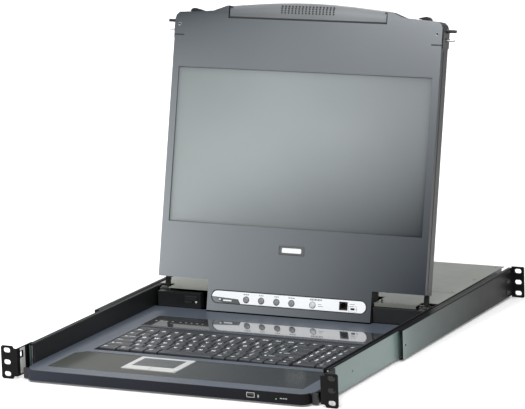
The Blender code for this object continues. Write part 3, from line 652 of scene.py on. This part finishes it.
def legend(mesh, word, box, top):
    """A key's marks: a letter or a generic sign near its upper left, with a small second mark."""
    x0, x1, _, y1 = box
    x, y = x0 + 5.6, y1 - 6.0
    z = top - 0.1
    if word == " ":
        return
    if word == "bar":
        bar_mark(mesh, x0 + 6.0, y1 - 5.6, z, 5.0, 1.0)
        bar_mark(mesh, x0 + 5.4, y1 - 7.8, z, 3.8, 0.8)
        return
    if word == "lock":
        bar_mark(mesh, x0 + 7.5, y1 - 6.0, z, 8.0, 1.0)
        stamp(mesh, shape_of("o", 4.0), (x1 - 5.5, y, z))
        return
    if word in TURNS:
        arrow_mark(mesh, x0 + 6.5, y, z, 2.3, TURNS[word])
        if x1 - x0 > 22:
            bar_mark(mesh, x0 + 15.5, y, z, 9.0, 1.0)
        return
    size = 7.0 if len(word) == 1 else 5.2
    stamp(mesh, shape_of(word, size), (x + (len(word) - 1) * 1.5, y, z))
    if len(word) == 1 and not word.isalpha():
        bar_mark(mesh, x, y - 5.0, z, 3.0, 1.2)


def make_keys():
    """Dished keycaps and their legends in place of the plain blocks."""
    foot = node_box("keys_main")[0].z
    for name, rows in LEGENDS.items():
        tops, top = key_tops(name)
        caps = bmesh.new()
        marks = bmesh.new()
        for row, words in zip(tops, rows):
            for box, word in zip(row, words):
                keycap(caps, box, foot + 0.4, top)
                legend(marks, word, box, top)
        low, high = node_box(name)
        block(caps, low.x + 1.2, high.x - 1.2, low.y + 1.2, high.y - 1.2, low.z, low.z + 0.8)
        made = piece(f"caps_{name}", caps, KEY_BLACK, KEY_BODIES[name])
        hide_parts(name)
        if marks.verts:
            piece(f"legends_{name}", marks, PRINT, KEY_BODIES[name], smooth=False)
        else:
            marks.free()


# ---------------------------------------------------------------- deck and front

def make_deck():
    """The drawer's finishes and the small pieces on its front."""
    soften("tray", 0.35, BLACK_PAINT, smooth=False)
    soften("deck_frame", 0.7, SLATE, 3, smooth=False)
    soften("front_bezel", 1.1, TRIM_PAINTED_REFLECTION, 3, smooth=False)
    soften("palm_rest", 0.5, PALM_PAINTED_REFLECTION, 3)
    soften("keyboard_plate", 0.3, BLACK_PLASTIC)
    soften("light_strip", 0.4, GLOSS, 3)
    soften("usb_port", 0.12, TIN)
    soften("power_light", 0.15, GREEN)
    soften("pad_frame", 0.7, SILVER, 3)
    soften("pad_surface", 0.2, PAD_BLACK)
    soften("pad_button_left", 0.4, SILVER, 3)
    soften("pad_button_right", 0.4, SILVER, 3)
    make_usb_tongue()
    make_deck_marks()


def make_usb_tongue():
    """The socket's tongue with its four contacts."""
    low, high = node_box("usb_port")
    x = (low.x + high.x) / 2
    z = (low.z + high.z) / 2
    mesh = bmesh.new()
    block(mesh, x - 4.9, x + 4.9, low.y + 1.0, low.y + 11.0, z + 0.2, z + 2.0, 0)
    for i in range(4):
        block(mesh, x - 3.9 + 2.2 * i, x - 2.8 + 2.2 * i, low.y + 1.4, low.y + 9.0, z - 0.02, z + 0.22, 1)
    piece("usb_tongue", mesh, [BLACK_PLASTIC, GOLD], "drawer", bevel=0.08)


def make_deck_marks():
    """Plain marks beside the socket and the light, and along the glossy strip."""
    mesh = bmesh.new()
    face = node_box("front_bezel")[0].y
    for x0, x1, z0, z1 in ((133.6, 135.4, -14.4, -10.8), (164.6, 168.2, -13.6, -12.4),
                           (169.0, 171.2, -13.6, -12.4), (171.8, 174.8, -13.6, -12.4)):
        slab(mesh, rounded(x0, x1, z0, z1, 0.4, 2), "y", face - 0.05, face + 0.2)
    piece("front_marks", mesh, GREY_PRINT, "drawer")
    mesh = bmesh.new()
    top = node_box("light_strip")[1].z
    for i in range(9):
        x = -164.5 + 8.4 * i + (3.6 if i > 3 else 0.0)
        slab(mesh, rounded(x, x + 2.8, 289.0, 291.2, 0.7, 2), "z", top - 0.05, top + 0.03)
    piece("strip_marks", mesh, GREY_PRINT, "drawer")


def make_walls():
    """Finishes of the ears, rails and slides, screws in the drawer's walls and plates behind the ears."""
    for side, word in SIDES:
        soften(f"ear_{word}", 0.5, EAR_PAINT, 3, smooth=False)
        soften(f"rail_{word}", 0.35, RAIL_PAINTED_REFLECTION, 2, smooth=False)
        soften(f"bracket_{word}", 0.35, BRACKET_PAINTED_REFLECTION, 2, smooth=False)
        # The painted reflection stays on the rails' and brackets' outward sides; their tops, bottoms and
        # ends keep the ears' black paint.
        back_of(f"bracket_{word}", "y", EAR_PAINT)
        back_of(f"bracket_{word}", "z", EAR_PAINT, 0.3)
        back_of(f"rail_{word}", "z", EAR_PAINT, 0.3)
        back_of(f"rail_{word}", "y", EAR_PAINT)
        soften(f"slide_mid_{word}", 0.3, ZINC)
        soften(f"slide_inner_{word}", 0.3, ZINC)
        places = [((side * WALL, y, z), "x", side > 0) for y, z in ((99.4, -0.8), (271.6, 1.5))]
        screws(f"wall_screws_{word}", places, "drawer", radius=2.3, height=0.7)
        mesh = bmesh.new()
        x0, x1 = sorted((side * 216.6, side * 217.1))
        block(mesh, x0, x1, 7.6, 20.0, -16.0, 4.6)
        block(mesh, x0, x1, 7.6, 20.0, 14.2, 17.6)
        block(mesh, x0, x1, 16.4, 20.0, 4.6, 14.2)
        piece(f"strike_plate_{word}", mesh, SILVER, "chassis", bevel=0.1)


# ---------------------------------------------------------------- the screen module

def make_screen():
    """The screen module's finishes and the plain badge on the name plate."""
    soften("screen_bezel", 0.8, BEZEL_PAINTED_REFLECTION, 3, smooth=False)
    soften("screen_back", 0.8, MODULE_BLACK, 3, smooth=False)
    # The painted reflection stays on the bezel's front; its sides take the module's black.
    sides_of("screen_bezel", MODULE_BLACK)
    soften("screen_glass", 0.0, SCREEN_PAINTED_REFLECTION)
    soften("name_plate", 0.3, TAB_GREY)
    soften("control_panel", 0.2, WHITE_PANEL, smooth=False)
    soften("phone_jack", 0.2, BLACK_PLASTIC)
    soften("mode_switch", 0.2, BLACK_PLASTIC)
    for word in ("left", "right"):
        soften(f"hinge_arm_{word}", 0.4, BLACK_PAINT)
        soften(f"hinge_base_{word}", 0.4, BLACK_PAINT)
        soften(f"hinge_box_{word}", 0.6, BLACK_PAINT, 3, smooth=False)
        soften(f"latch_{word}", 0.4, BLACK_PAINT)
        soften(f"guide_pin_{word}", 0.4, ZINC)
    low, high = node_box("name_plate", MODULE)
    mesh = bmesh.new()
    slab(mesh, rounded(low.x + 4.2, high.x - 4.2, low.z + 2.6, high.z - 2.6, 1.6), "y",
         low.y - 0.12, low.y + 0.3)
    piece("name_badge", mesh, PRINT, "screen", MODULE, bevel=0.08)


def handle_section(x, span, low, high):
    """The handle's outline at a distance from its middle: the top is crowned."""
    rise = 7.2
    top = high.z - rise + rise * math.cos(math.pi * x / (2 * span)) - 0.2
    foot = low.z + 1.3
    front, back = low.y + 0.2, high.y - 0.2
    tall = top - foot
    return [
        (front + 1.6, foot), (front + 0.5, foot + 0.5), (front + 0.1, foot + 1.8),
        (front + 0.1, foot + tall * 0.62), (front + 0.9, foot + tall * 0.68),
        (front + 3.4, foot + tall * 0.9), (front + 6.2, top - 0.5), (front + 9.4, top),
        (back - 6.4, top), (back - 2.6, top - 0.7), (back - 0.6, top - 3.0),
        (back, foot + tall * 0.5), (back - 0.3, foot + 1.2), (back - 1.2, foot),
    ]


def make_handle():
    """The bar between the top corners, and a dark block as painted shade in the gap around it."""
    low, high = node_box("handle", MODULE)
    span = high.x - 1.1
    steps = 40
    rings = []
    mesh = bmesh.new()
    for i in range(steps + 1):
        x = -span + 2 * span * i / steps
        rings.append([mesh.verts.new((x, y, z)) for y, z in handle_section(x, span, low, high)])
    for near, far in zip(rings, rings[1:]):
        for i in range(len(near)):
            j = (i + 1) % len(near)
            mesh.faces.new((near[i], near[j], far[j], far[i]))
    mesh.faces.new(rings[0])
    mesh.faces.new(list(reversed(rings[-1])))
    made = piece("handle_bar", mesh, HANDLE_PAINTED_LIGHT, "screen", MODULE, angle=40)
    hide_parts("handle")
    # A dark block behind the bar's foot and ends: painted shade in the gap round the handle.
    mesh = bmesh.new()
    block(mesh, -span + 1.0, span - 1.0, FACE + 2.5, BACK - 3.0, low.z - 0.5, low.z + 4.0)
    for side in (-1, 1):
        x0, x1 = sorted((side * (span - 3.0), side * (span + 1.6)))
        block(mesh, x0, x1, FACE + 2.5, BACK - 3.0, low.z - 0.5, low.z + 15.6)
    piece("handle_gap_shade", mesh, DARK, "screen", MODULE)


def make_grip():
    """A grid of raised dots on the handle's front."""
    low, high = node_box("handle", MODULE)
    tall = high.z - low.z - 0.4
    pitch, columns, rows = 5.2, 16, 4
    dot = [(0.0, -0.6), (1.35, -0.6), (1.3, 0.15), (0.9, 0.4), (0.0, 0.5)]
    mesh = bmesh.new()
    for row in range(rows):
        for column in range(columns):
            x = -(columns - 1) / 2 * pitch + pitch * column
            z = low.z + tall * (0.40 + 0.125 * row)
            share = (z - low.z) / tall
            y = low.y + 0.2 + max(0.0, share - 0.66) * 11.0
            lathe(mesh, dot, facing((x, y - 0.1, z), "y", True), 8)
    piece("handle_grip", mesh, DARK, "screen", MODULE)


def make_panel():
    """The dark groove around the white control strip and the grey tab on it."""
    mesh = bmesh.new()
    outer = rounded(PANEL_LOW.x - 1.5, PANEL_HIGH.x + 1.5, PANEL_LOW.z - 1.2, PANEL_HIGH.z + 1.6, 9.2, 8)
    inner = rounded(PANEL_LOW.x - 0.1, PANEL_HIGH.x + 0.1, PANEL_LOW.z - 0.1, PANEL_HIGH.z + 0.1, 8.1, 8)
    loops = []
    for outline, y in ((outer, FACE + 0.1), (outer, FACE - 0.12), (inner, FACE - 0.12), (inner, FACE + 0.1)):
        loops.append([mesh.verts.new((a, y, b)) for a, b in outline])
    for near, far in zip(loops, loops[1:] + loops[:1]):
        for i in range(len(near)):
            j = (i + 1) % len(near)
            mesh.faces.new((near[i], near[j], far[j], far[i]))
    piece("panel_groove", mesh, DARK, "screen", MODULE)
    mesh = bmesh.new()
    tab = [(-108.5, -5.6), (-103.0, -10.6), (-98.0, -12.0), (-73.4, -12.0), (-76.4, -7.0), (-79.0, -6.6)]
    slab(mesh, tab, "y", FACE - 0.35, FACE + 0.1)
    piece("panel_tab", mesh, TAB_GREY, "screen", MODULE, bevel=0.1)
    mesh = bmesh.new()
    slab(mesh, rounded(-99.0, -86.0, -9.8, -7.8, 0.6, 2), "y", FACE - 0.45, FACE - 0.3)
    slab(mesh, rounded(-105.6, -102.6, -8.6, -6.8, 0.5, 2), "y", FACE - 0.45, FACE - 0.3)
    piece("tab_label", mesh, PRINT, "screen", MODULE)


def make_buttons():
    """Domed buttons, each in a dark ring of painted shade: four grey ones and the pale one for the screen's
    power.
    """
    looks = {f"button_{number}": (BUTTON_GREY, "button_grey") for number in (1, 2, 3, 4)}
    looks["button_screen"] = (PALE_BUTTON, "silver_plastic")
    for name, (skin, slot) in looks.items():
        start, end = node_box(name, MODULE)
        radius = (end.x - start.x) / 2
        place = facing(((start.x + end.x) / 2, FACE, (start.z + end.z) / 2), "y", True)
        mesh = bmesh.new()
        profile = [(0.0, -5.6), (radius, -5.6), (radius, 0.9), (radius - 0.25, 1.3),
                   (radius - 0.8, 1.45), (radius - 1.1, 1.2), (radius - 1.7, 1.35), (1.0, 1.55), (0.0, 1.6)]
        lathe(mesh, profile, place, 28)
        made = piece(f"domed_{name}", mesh, skin, NODES[name]["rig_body"], MODULE)
        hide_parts(name)
        # A dark ring round each button: painted shade of the gap it sits in.
        mesh = bmesh.new()
        inside, outside = radius + 0.3, radius + 0.75
        hoop(mesh, [(inside, 0.6), (inside, 0.36), (outside, 0.36), (outside, 0.6)], place, 28)
        piece(f"gap_shade_ring_{name}", mesh, DARK, "screen", MODULE)


def make_panel_marks():
    """Plain bars where the strip carries small print, a frame round the slide switch, jack contacts."""
    mesh = bmesh.new()
    face = PANEL_LOW.y - 0.03
    for x, width in ((-63.7, 9.0), (-40.9, 7.0), (-17.6, 7.0), (5.1, 10.0)):
        for part in range(3):
            x0 = x - width / 2 + part * width / 3
            slab(mesh, rounded(x0, x0 + width / 3 - 0.5, 0.4, 2.0, 0.3, 2), "y", face, face + 0.1)
    left, right, foot, top, line = 90.6, 102.8, -11.5, -3.5, 0.4
    for x0, x1, z0, z1 in ((left, right, top - line, top), (left, right, foot, foot + line),
                           (left, left + line, foot, top), (right - line, right, foot, top)):
        slab(mesh, [(x0, z0), (x1, z0), (x1, z1), (x0, z1)], "y", face, face + 0.1)
    for x0, x1, z0, z1 in ((45.0, 50.0, -5.0, -4.2), (45.0, 53.0, -7.6, -6.8), (92.0, 100.0, -1.4, -0.6),
                           (92.0, 98.0, -4.4, -3.8), (101.0, 104.0, -8.0, -7.2)):
        slab(mesh, rounded(x0, x1, z0, z1, 0.3, 2), "y", face, face + 0.1)
    piece("panel_marks", mesh, GREY_PRINT, "screen", MODULE)
    mesh = bmesh.new()
    slab(mesh, rounded(32.5, 50.5, 0.4, 2.4, 0.6, 2), "y", face, face + 0.1, 0)
    for x0, x1 in ((33.5, 35.5), (36.5, 40.5), (41.5, 45.5), (46.5, 49.5)):
        slab(mesh, rounded(x0, x1, 0.9, 1.9, 0.3, 2), "y", face - 0.03, face + 0.02, 1)
    piece("power_mark", mesh, [DARK, PRINT], "screen", MODULE)
    low = node_box("phone_jack", MODULE)[0]
    mesh = bmesh.new()
    for i in range(6):
        x = low.x + 3.1 + 1.2 * i
        block(mesh, x - 0.25, x + 0.25, FACE + 2.0, FACE + 12.0, low.z + 1.3, low.z + 1.8)
    piece("jack_contacts", mesh, GOLD, "screen", MODULE)


LATCH_FOOT, LATCH_TOP = 360.8, 366.0
PIN_FOOT, PIN_TOP = 372.6, 379.2


def corner_guard(side, word):
    """A guard over a top corner's side, open where the latch and the guide pin come out."""
    mesh = bmesh.new()
    x0, x1 = HALF - 0.6, HALF + 1.5
    front, rear = FACE + 2.0, BACK - 0.6
    for y0, y1, z0, z1 in ((front, rear, 352.2, LATCH_FOOT), (front, rear, LATCH_TOP, PIN_FOOT),
                           (front, -8.2, LATCH_FOOT, LATCH_TOP), (-2.4, rear, LATCH_FOOT, LATCH_TOP),
                           (front, -8.2, PIN_FOOT, PIN_TOP), (-2.4, rear, PIN_FOOT, PIN_TOP)):
        shape = [(x0, z0), (x1, z0), (x1, min(z1, PIN_TOP - 2.2)), (x0, z1)]
        slab(mesh, [(side * x, z) for x, z in shape], "y", y0, y1)
    piece(f"corner_guard_{word}", mesh, MODULE_BLACK, "screen", MODULE)


def edge_strip(side, word):
    """A dark strip along the module's side."""
    mesh = bmesh.new()
    x0, x1 = sorted((side * (HALF - 0.6), side * (HALF + 0.5)))
    block(mesh, x0, x1, FACE + 8.6, FACE + 10.4, 24.0, 348.0)
    piece(f"edge_strip_{word}", mesh, DARK, "screen", MODULE, bevel=0.2)


def thumb_ribs(side, word):
    """Ribs on the latch bar's sloping thumb tab."""
    low, high = node_box(f"latch_{word}", MODULE)
    mesh = bmesh.new()
    for i in range(4):
        x = 165.6 + 2.9 * i
        top = high.z - 2.5 + 2.5 * min(1.0, (x - 163.5) / 11.1)
        slab(mesh, rounded(side * x - 0.6, side * x + 0.6, top - 1.0, top + 0.45, 0.5, 3), "y",
             low.y + 0.6, low.y + 9.6)
    piece(f"thumb_ribs_{word}", mesh, TAB_GREY, f"latch_{word}_body", MODULE)


def corner_holes():
    """A rimmed hole and a slit by each of the bezel's top corners, dark inside as painted shade."""
    holes = bmesh.new()
    rims = bmesh.new()
    for side in (-1, 1):
        place = facing((side * 194.2, FACE, 370.8), "y", True)
        # A dark disc in the hole: painted shade.
        lathe(holes, [(0.0, -0.62), (1.62, -0.62), (1.62, -0.05), (1.5, 0.02), (0.0, 0.02)], place, 20)
        hoop(rims, [(1.7, -0.1), (1.75, 0.1), (2.0, 0.16), (2.4, -0.1)], place, 20)
        # A dark strip in the slit: painted shade.
        x0, x1 = sorted((side * 186.7, side * 202.0))
        slab(holes, rounded(x0, x1, 355.1, 356.7, 0.3, 2), "y", FACE + 0.3, FACE + 0.95)
    piece("corner_holes", holes, DARK, "screen", MODULE)
    piece("corner_rims", rims, MODULE_RIM, "screen", MODULE)


def module_back():
    """Screws, a raised panel, two rows of vents and a blank label on the module's back."""
    places = [((x, BACK, z), "y", False) for x in (-190, -95, 0, 95, 190) for z in (30, 368)]
    places += [((side * 190, BACK, z), "y", False) for side in (-1, 1) for z in (140, 250)]
    screws("back_screws", places, "screen", place=MODULE, radius=2.4, height=0.8)
    mesh = bmesh.new()
    slab(mesh, rounded(-150, 150, 90, 310, 8.0, 6), "y", BACK - 0.2, BACK + 0.9)
    piece("back_panel", mesh, MODULE_PAINT, "screen", MODULE, bevel=0.7, segments=3)
    mesh = bmesh.new()
    for z in (326, 335):
        for x in range(-98, 99, 14):
            slab(mesh, rounded(x - 5, x + 5, z, z + 2.4, 1.1, 4), "y", BACK - 0.3, BACK + 0.06)
    piece("back_vents", mesh, DARK, "screen", MODULE)
    mesh = bmesh.new()
    slab(mesh, rounded(-34, 34, 108, 134, 1.5, 3), "y", BACK + 0.85, BACK + 1.05)
    piece("back_label", mesh, LABEL, "screen", MODULE)


def make_module_trim():
    """The module's corners, sides, thumb tabs and back."""
    for side, word in SIDES:
        corner_guard(side, word)
        edge_strip(side, word)
        thumb_ribs(side, word)
    corner_holes()
    module_back()


# ---------------------------------------------------------------- hinges, cover and rear

def make_hinges():
    """Coil springs and nuts on the hinge axis, ribs behind the arms."""
    axis = node_box("hinge_base_left")[1].z - 5.4
    for side, word in SIDES:
        mesh = bmesh.new()
        for i in range(7):
            place = facing((side * (176.0 + 1.6 * i), HINGE_Y, axis), "x")
            lathe(mesh, [(3.0, -0.6), (3.6, -0.3), (3.6, 0.3), (3.0, 0.6), (0.0, 0.62)], place, 18)
        piece(f"hinge_spring_{word}", mesh, DARK_STEEL, "drawer")
        mesh = bmesh.new()
        lathe(mesh, [(0.0, -0.9), (3.2, -0.9), (3.2, 0.9), (2.8, 1.3), (0.0, 1.3)],
              facing((side * 204.4, HINGE_Y, axis), "x", side < 0), 6)
        piece(f"hinge_nut_{word}", mesh, DARK_STEEL, "drawer", bevel=0.2)
        mesh = bmesh.new()
        x0, x1 = sorted((side * 192.8, side * 199.2))
        for i in range(3):
            block(mesh, x0, x1, 4.0, 6.2, 5.0 + 4.2 * i, 7.2 + 4.2 * i)
        piece(f"arm_ribs_{word}", mesh, BLACK_PAINT, "screen", MODULE, bevel=0.3)


def make_hinge_box_fittings():
    """Screws on the hinge boxes, a small latch on the left box's front and the cable's spring end."""
    places = [((x, 377, 15.5), "z", False) for x in (156, 190, -190)]
    screws("hinge_box_screws", places, "drawer", BLACK_PAINT, radius=1.8, height=0.4)
    face = node_box("hinge_box_left")[0].y
    mesh = bmesh.new()
    slab(mesh, rounded(-161.0, -141.4, 9.4, 11.4, 0.8, 3), "y", face - 0.15, face + 1.0, 1)
    slab(mesh, rounded(-161.2, -149.4, 1.6, 4.0, 0.8, 3), "y", face - 0.15, face + 1.0, 1)
    slab(mesh, rounded(-160.4, -142.0, 4.8, 8.8, 0.6, 3), "y", face - 0.35, face + 1.0, 0)
    lathe(mesh, [(0.0, -0.4), (1.7, -0.4), (1.6, 0.3), (1.0, 0.8), (0.0, 0.95)],
          facing((-143.0, face + 0.3, 2.8), "y", True), 16, 2)
    piece("hinge_box_fittings", mesh, [BLACK_PAINT, DARK, SILVER], "drawer")
    mesh = bmesh.new()
    pin = [(0.0, 0.0), (1.1, 0.0), (1.1, 11.0), (0.8, 11.5), (0.0, 11.6)]
    lathe(mesh, pin, facing((135.8, 380.0, 15.0), "z"), 12)
    lathe(mesh, [(0.0, 0.0), (2.2, 0.0), (2.2, 3.0), (0.0, 3.0)], facing((135.8, 380.0, 14.6), "z"), 12)
    piece("cable_spring_end", mesh, DARK_STEEL, "drawer")


def make_cover():
    """The two covers' paint, with painted light lighter at the left, and the screws that hold them."""
    soften("cover_front", 0.35, COVER_PAINTED_LIGHT)
    soften("cover_back", 0.35, COVER_PAINTED_LIGHT)
    places = [((x, y, COVER_TOP), "z", False) for x in (-202, 0, 202) for y in (468, 628)]
    places += [((side * 202, 548, COVER_TOP), "z", False) for side in (-1, 1)]
    screws("cover_screws", places, "drawer", COVER_PAINTED_LIGHT, radius=2.4, height=0.5)


def make_console_sockets():
    """A row of eight fifteen-hole sockets with their jack nuts."""
    mesh = bmesh.new()
    holes = bmesh.new()
    nuts = bmesh.new()
    nut = [(0.0, 0.0), (2.6, 0.0), (2.6, 3.6), (2.3, 4.0), (1.2, 4.0), (1.2, 2.0), (0.0, 2.0)]
    for number in range(8):
        x = -78.0 + 34.0 * number
        slab(mesh, rounded(x - 7.4, x + 7.4, -3.5, 3.5, 2.2, 3), "y", REAR_FACE + 4.6, REAR_FACE + 5.5)
        for row in range(3):
            for i in range(5):
                px = x - 4.4 + 2.2 * i + (1.1 if row == 1 else 0.0) - 0.5
                lathe(holes, [(0.0, 0.0), (0.42, 0.0), (0.42, 0.08), (0.0, 0.08)],
                      facing((px, REAR_FACE + 5.5, -1.9 + 1.9 * row), "y"), 8)
        for side in (-1, 1):
            lathe(nuts, nut, facing((x + side * 12.4, REAR_FACE, 0.0), "y"), 6)
    piece("socket_inserts", mesh, BLUE, "drawer", bevel=0.15)
    piece("socket_holes", holes, DARK, "drawer")
    piece("socket_nuts", nuts, ZINC, "drawer")


def make_power_entry():
    """The rear panel's screws, the mains inlet's three pins and the rocker's mark."""
    places = [((x, REAR_FACE, z), "y", False) for x in (-203, 203) for z in (-12, 12)]
    places += [((-184, REAR_FACE, z), "y", False) for z in (13.4, -13.6)]
    screws("rear_screws", places, "drawer", radius=2.2, height=0.9)
    mesh = bmesh.new()
    for x, z in ((-190.5, 0), (-178.5, 0), (-184, 1)):
        block(mesh, x - 1.05, x + 1.05, 620.2, 629.3, z - 3.05, z + 3.05)
    piece("inlet_pins", mesh, ZINC, "drawer", bevel=0.2)
    turn = Matrix.Translation((-153.0, 631.0, 0.0)) @ Matrix.Rotation(math.radians(-7.0), 4, "X")
    mesh = bmesh.new()
    block(mesh, -0.5, 0.5, 6.7, 6.95, 4.2, 7.4)
    bmesh.ops.rotate(mesh, verts=mesh.verts, cent=(0, 6, 5), matrix=Matrix.Rotation(math.radians(6), 3, "X"))
    bmesh.ops.transform(mesh, matrix=turn, verts=mesh.verts)
    piece("rocker_mark", mesh, PRINT, "rocker")


def make_rear():
    """The rear panel with its sockets, vents and blank label, and the boards behind it."""
    soften("rear_panel", 0.3, BLACK_PAINT)
    soften("port_block", 0.3, TIN)
    soften("power_inlet", 0.4, BLACK_PLASTIC)
    soften("power_switch", 0.5, BLACK_PLASTIC, 3)
    soften("main_board", 0.2, BOARD)
    soften("power_supply", 0.5, TIN)
    make_console_sockets()
    make_power_entry()
    mesh = bmesh.new()
    for row in range(2):
        for i in range(10):
            x = -136 + 4.2 * i
            slab(mesh, rounded(x - 1.0, x + 1.0, -11 + 12 * row, -2 + 12 * row, 0.9, 3), "y",
                 REAR_FACE - 0.4, REAR_FACE + 0.05)
    piece("rear_vents", mesh, DARK, "drawer")
    mesh = bmesh.new()
    slab(mesh, rounded(-84, 166, 9.6, 13.6, 0.8, 3), "y", REAR_FACE - 0.05, REAR_FACE + 0.08)
    piece("rear_label", mesh, LABEL, "drawer")


def make_side_details():
    """Domed rivets on the brackets, rail screws and screws under the drawer."""
    for side, word in SIDES:
        mesh = bmesh.new()
        for z in (4.3, -10.4):
            lathe(mesh, [(0.0, -0.4), (3.4, -0.4), (3.2, 0.1), (2.4, 0.6), (1.2, 0.95), (0.0, 1.05)],
                  facing((side * 224.6, 617.0, z), "x", side < 0), 20)
        piece(f"bracket_rivets_{word}", mesh, BLACK_PAINT, f"rear_bracket_{word}")
        places = [((side * RAIL_FACE, y, 0.7), "x", side < 0) for y in (99.0, 330.0, 560.0)]
        screws(f"rail_screws_{word}", [(Vector(p) - Vector((side * 0.9, 0, 0)), a, f) for p, a, f in places],
               "chassis", radius=1.5, height=0.9)
    bottom = node_box("tray")[0].z
    places = [((x, y, bottom), "z", True) for x in (-190, 190) for y in (60, 240, 420, 600)]
    places += [((x, y, bottom), "z", True) for x in (-60, 60) for y in (120, 340)]
    screws("tray_screws", places, "drawer", radius=2.6, height=0.7)


# ---------------------------------------------------------------- studio

# Name, place, point it faces, size in metres and watts.
LIGHTS = (
    ("key", (0.9, -2.1, 2.1), (0.0, 0.1, 0.2), 1.6, 42),
    ("right", (1.9, 0.2, 1.0), (0.0, 0.0, 0.15), 1.0, 6),
    ("floor_far", (-1.3, 3.2, 2.4), (-1.3, 3.2, 0.0), 1.4, 46),
    ("floor_back", (-1.0, 1.9, 2.4), (-1.0, 1.9, 0.0), 1.4, 16),
    ("floor_left", (-1.5, 0.4, 2.2), (-1.5, 0.4, 0.0), 1.4, 18),
    ("floor_right", (1.2, 0.5, 1.8), (1.2, 0.5, 0.0), 1.4, 10),
    ("floor_front", (-0.3, -1.3, 1.5), (-0.3, -1.3, 0.0), 1.2, 23),
)


def area(name, place, target, size, power):
    """A soft square light."""
    data = bpy.data.lights.new(name, "AREA")
    data.shape = "RECTANGLE"
    data.size = data.size_y = size
    data.energy = power
    lamp = bpy.data.objects.new(name, data)
    bpy.context.scene.collection.objects.link(lamp)
    lamp.location = place
    lamp.rotation_euler = (Vector(target) - Vector(place)).to_track_quat("-Z", "Y").to_euler()


def make_studio():
    """A pale floor with a faint glow of its own, even light all round and the soft lights."""
    mesh = bmesh.new()
    corners = [mesh.verts.new((x, y, -0.0004)) for x, y in ((-6, -6), (6, -6), (6, 6), (-6, 6))]
    mesh.faces.new(corners)
    data = bpy.data.meshes.new("floor")
    mesh.to_mesh(data)
    mesh.free()
    floor = bpy.data.objects.new("floor", data)
    bpy.context.scene.collection.objects.link(floor)
    white = surface("floor_white", (0.93, 0.93, 0.93), 0.8, grain_and_painted_light=0.0, spread=0.0)
    glow = white.node_tree.nodes["Principled BSDF"].inputs
    glow["Emission Color"].default_value = (1.0, 1.0, 1.0, 1.0)
    glow["Emission Strength"].default_value = 0.15
    data.materials.append(white)
    world = bpy.data.worlds.new("studio")
    bpy.context.scene.world = world
    world.use_nodes = True
    sky = world.node_tree.nodes["Background"].inputs
    sky["Color"].default_value = (1.0, 1.0, 1.0, 1.0)
    sky["Strength"].default_value = 0.39
    for lamp in LIGHTS:
        area(*lamp)
    bpy.context.scene.view_settings.view_transform = "Standard"


def make_camera():
    """The photograph's viewing angle: a long lens from the front right and above."""
    data = bpy.data.cameras.new("camera")
    data.sensor_fit = "HORIZONTAL"
    data.sensor_width = 36.0
    data.lens = 236.8
    data.clip_end = 50.0
    camera = bpy.data.objects.new("camera", data)
    bpy.context.scene.collection.objects.link(camera)
    camera.location = (1.98529, EAR_LOW.y - 3.78967, 1.11522)
    camera.rotation_euler = (1.369193, 0.031078, 0.445708)
    bpy.context.scene.camera = camera


make_camera()
make_studio()
make_deck()
make_walls()
make_keys()
make_screen()
make_handle()
make_grip()
make_panel()
make_buttons()
make_panel_marks()
make_module_trim()
make_hinges()
make_hinge_box_fittings()
make_cover()
make_rear()
make_side_details()
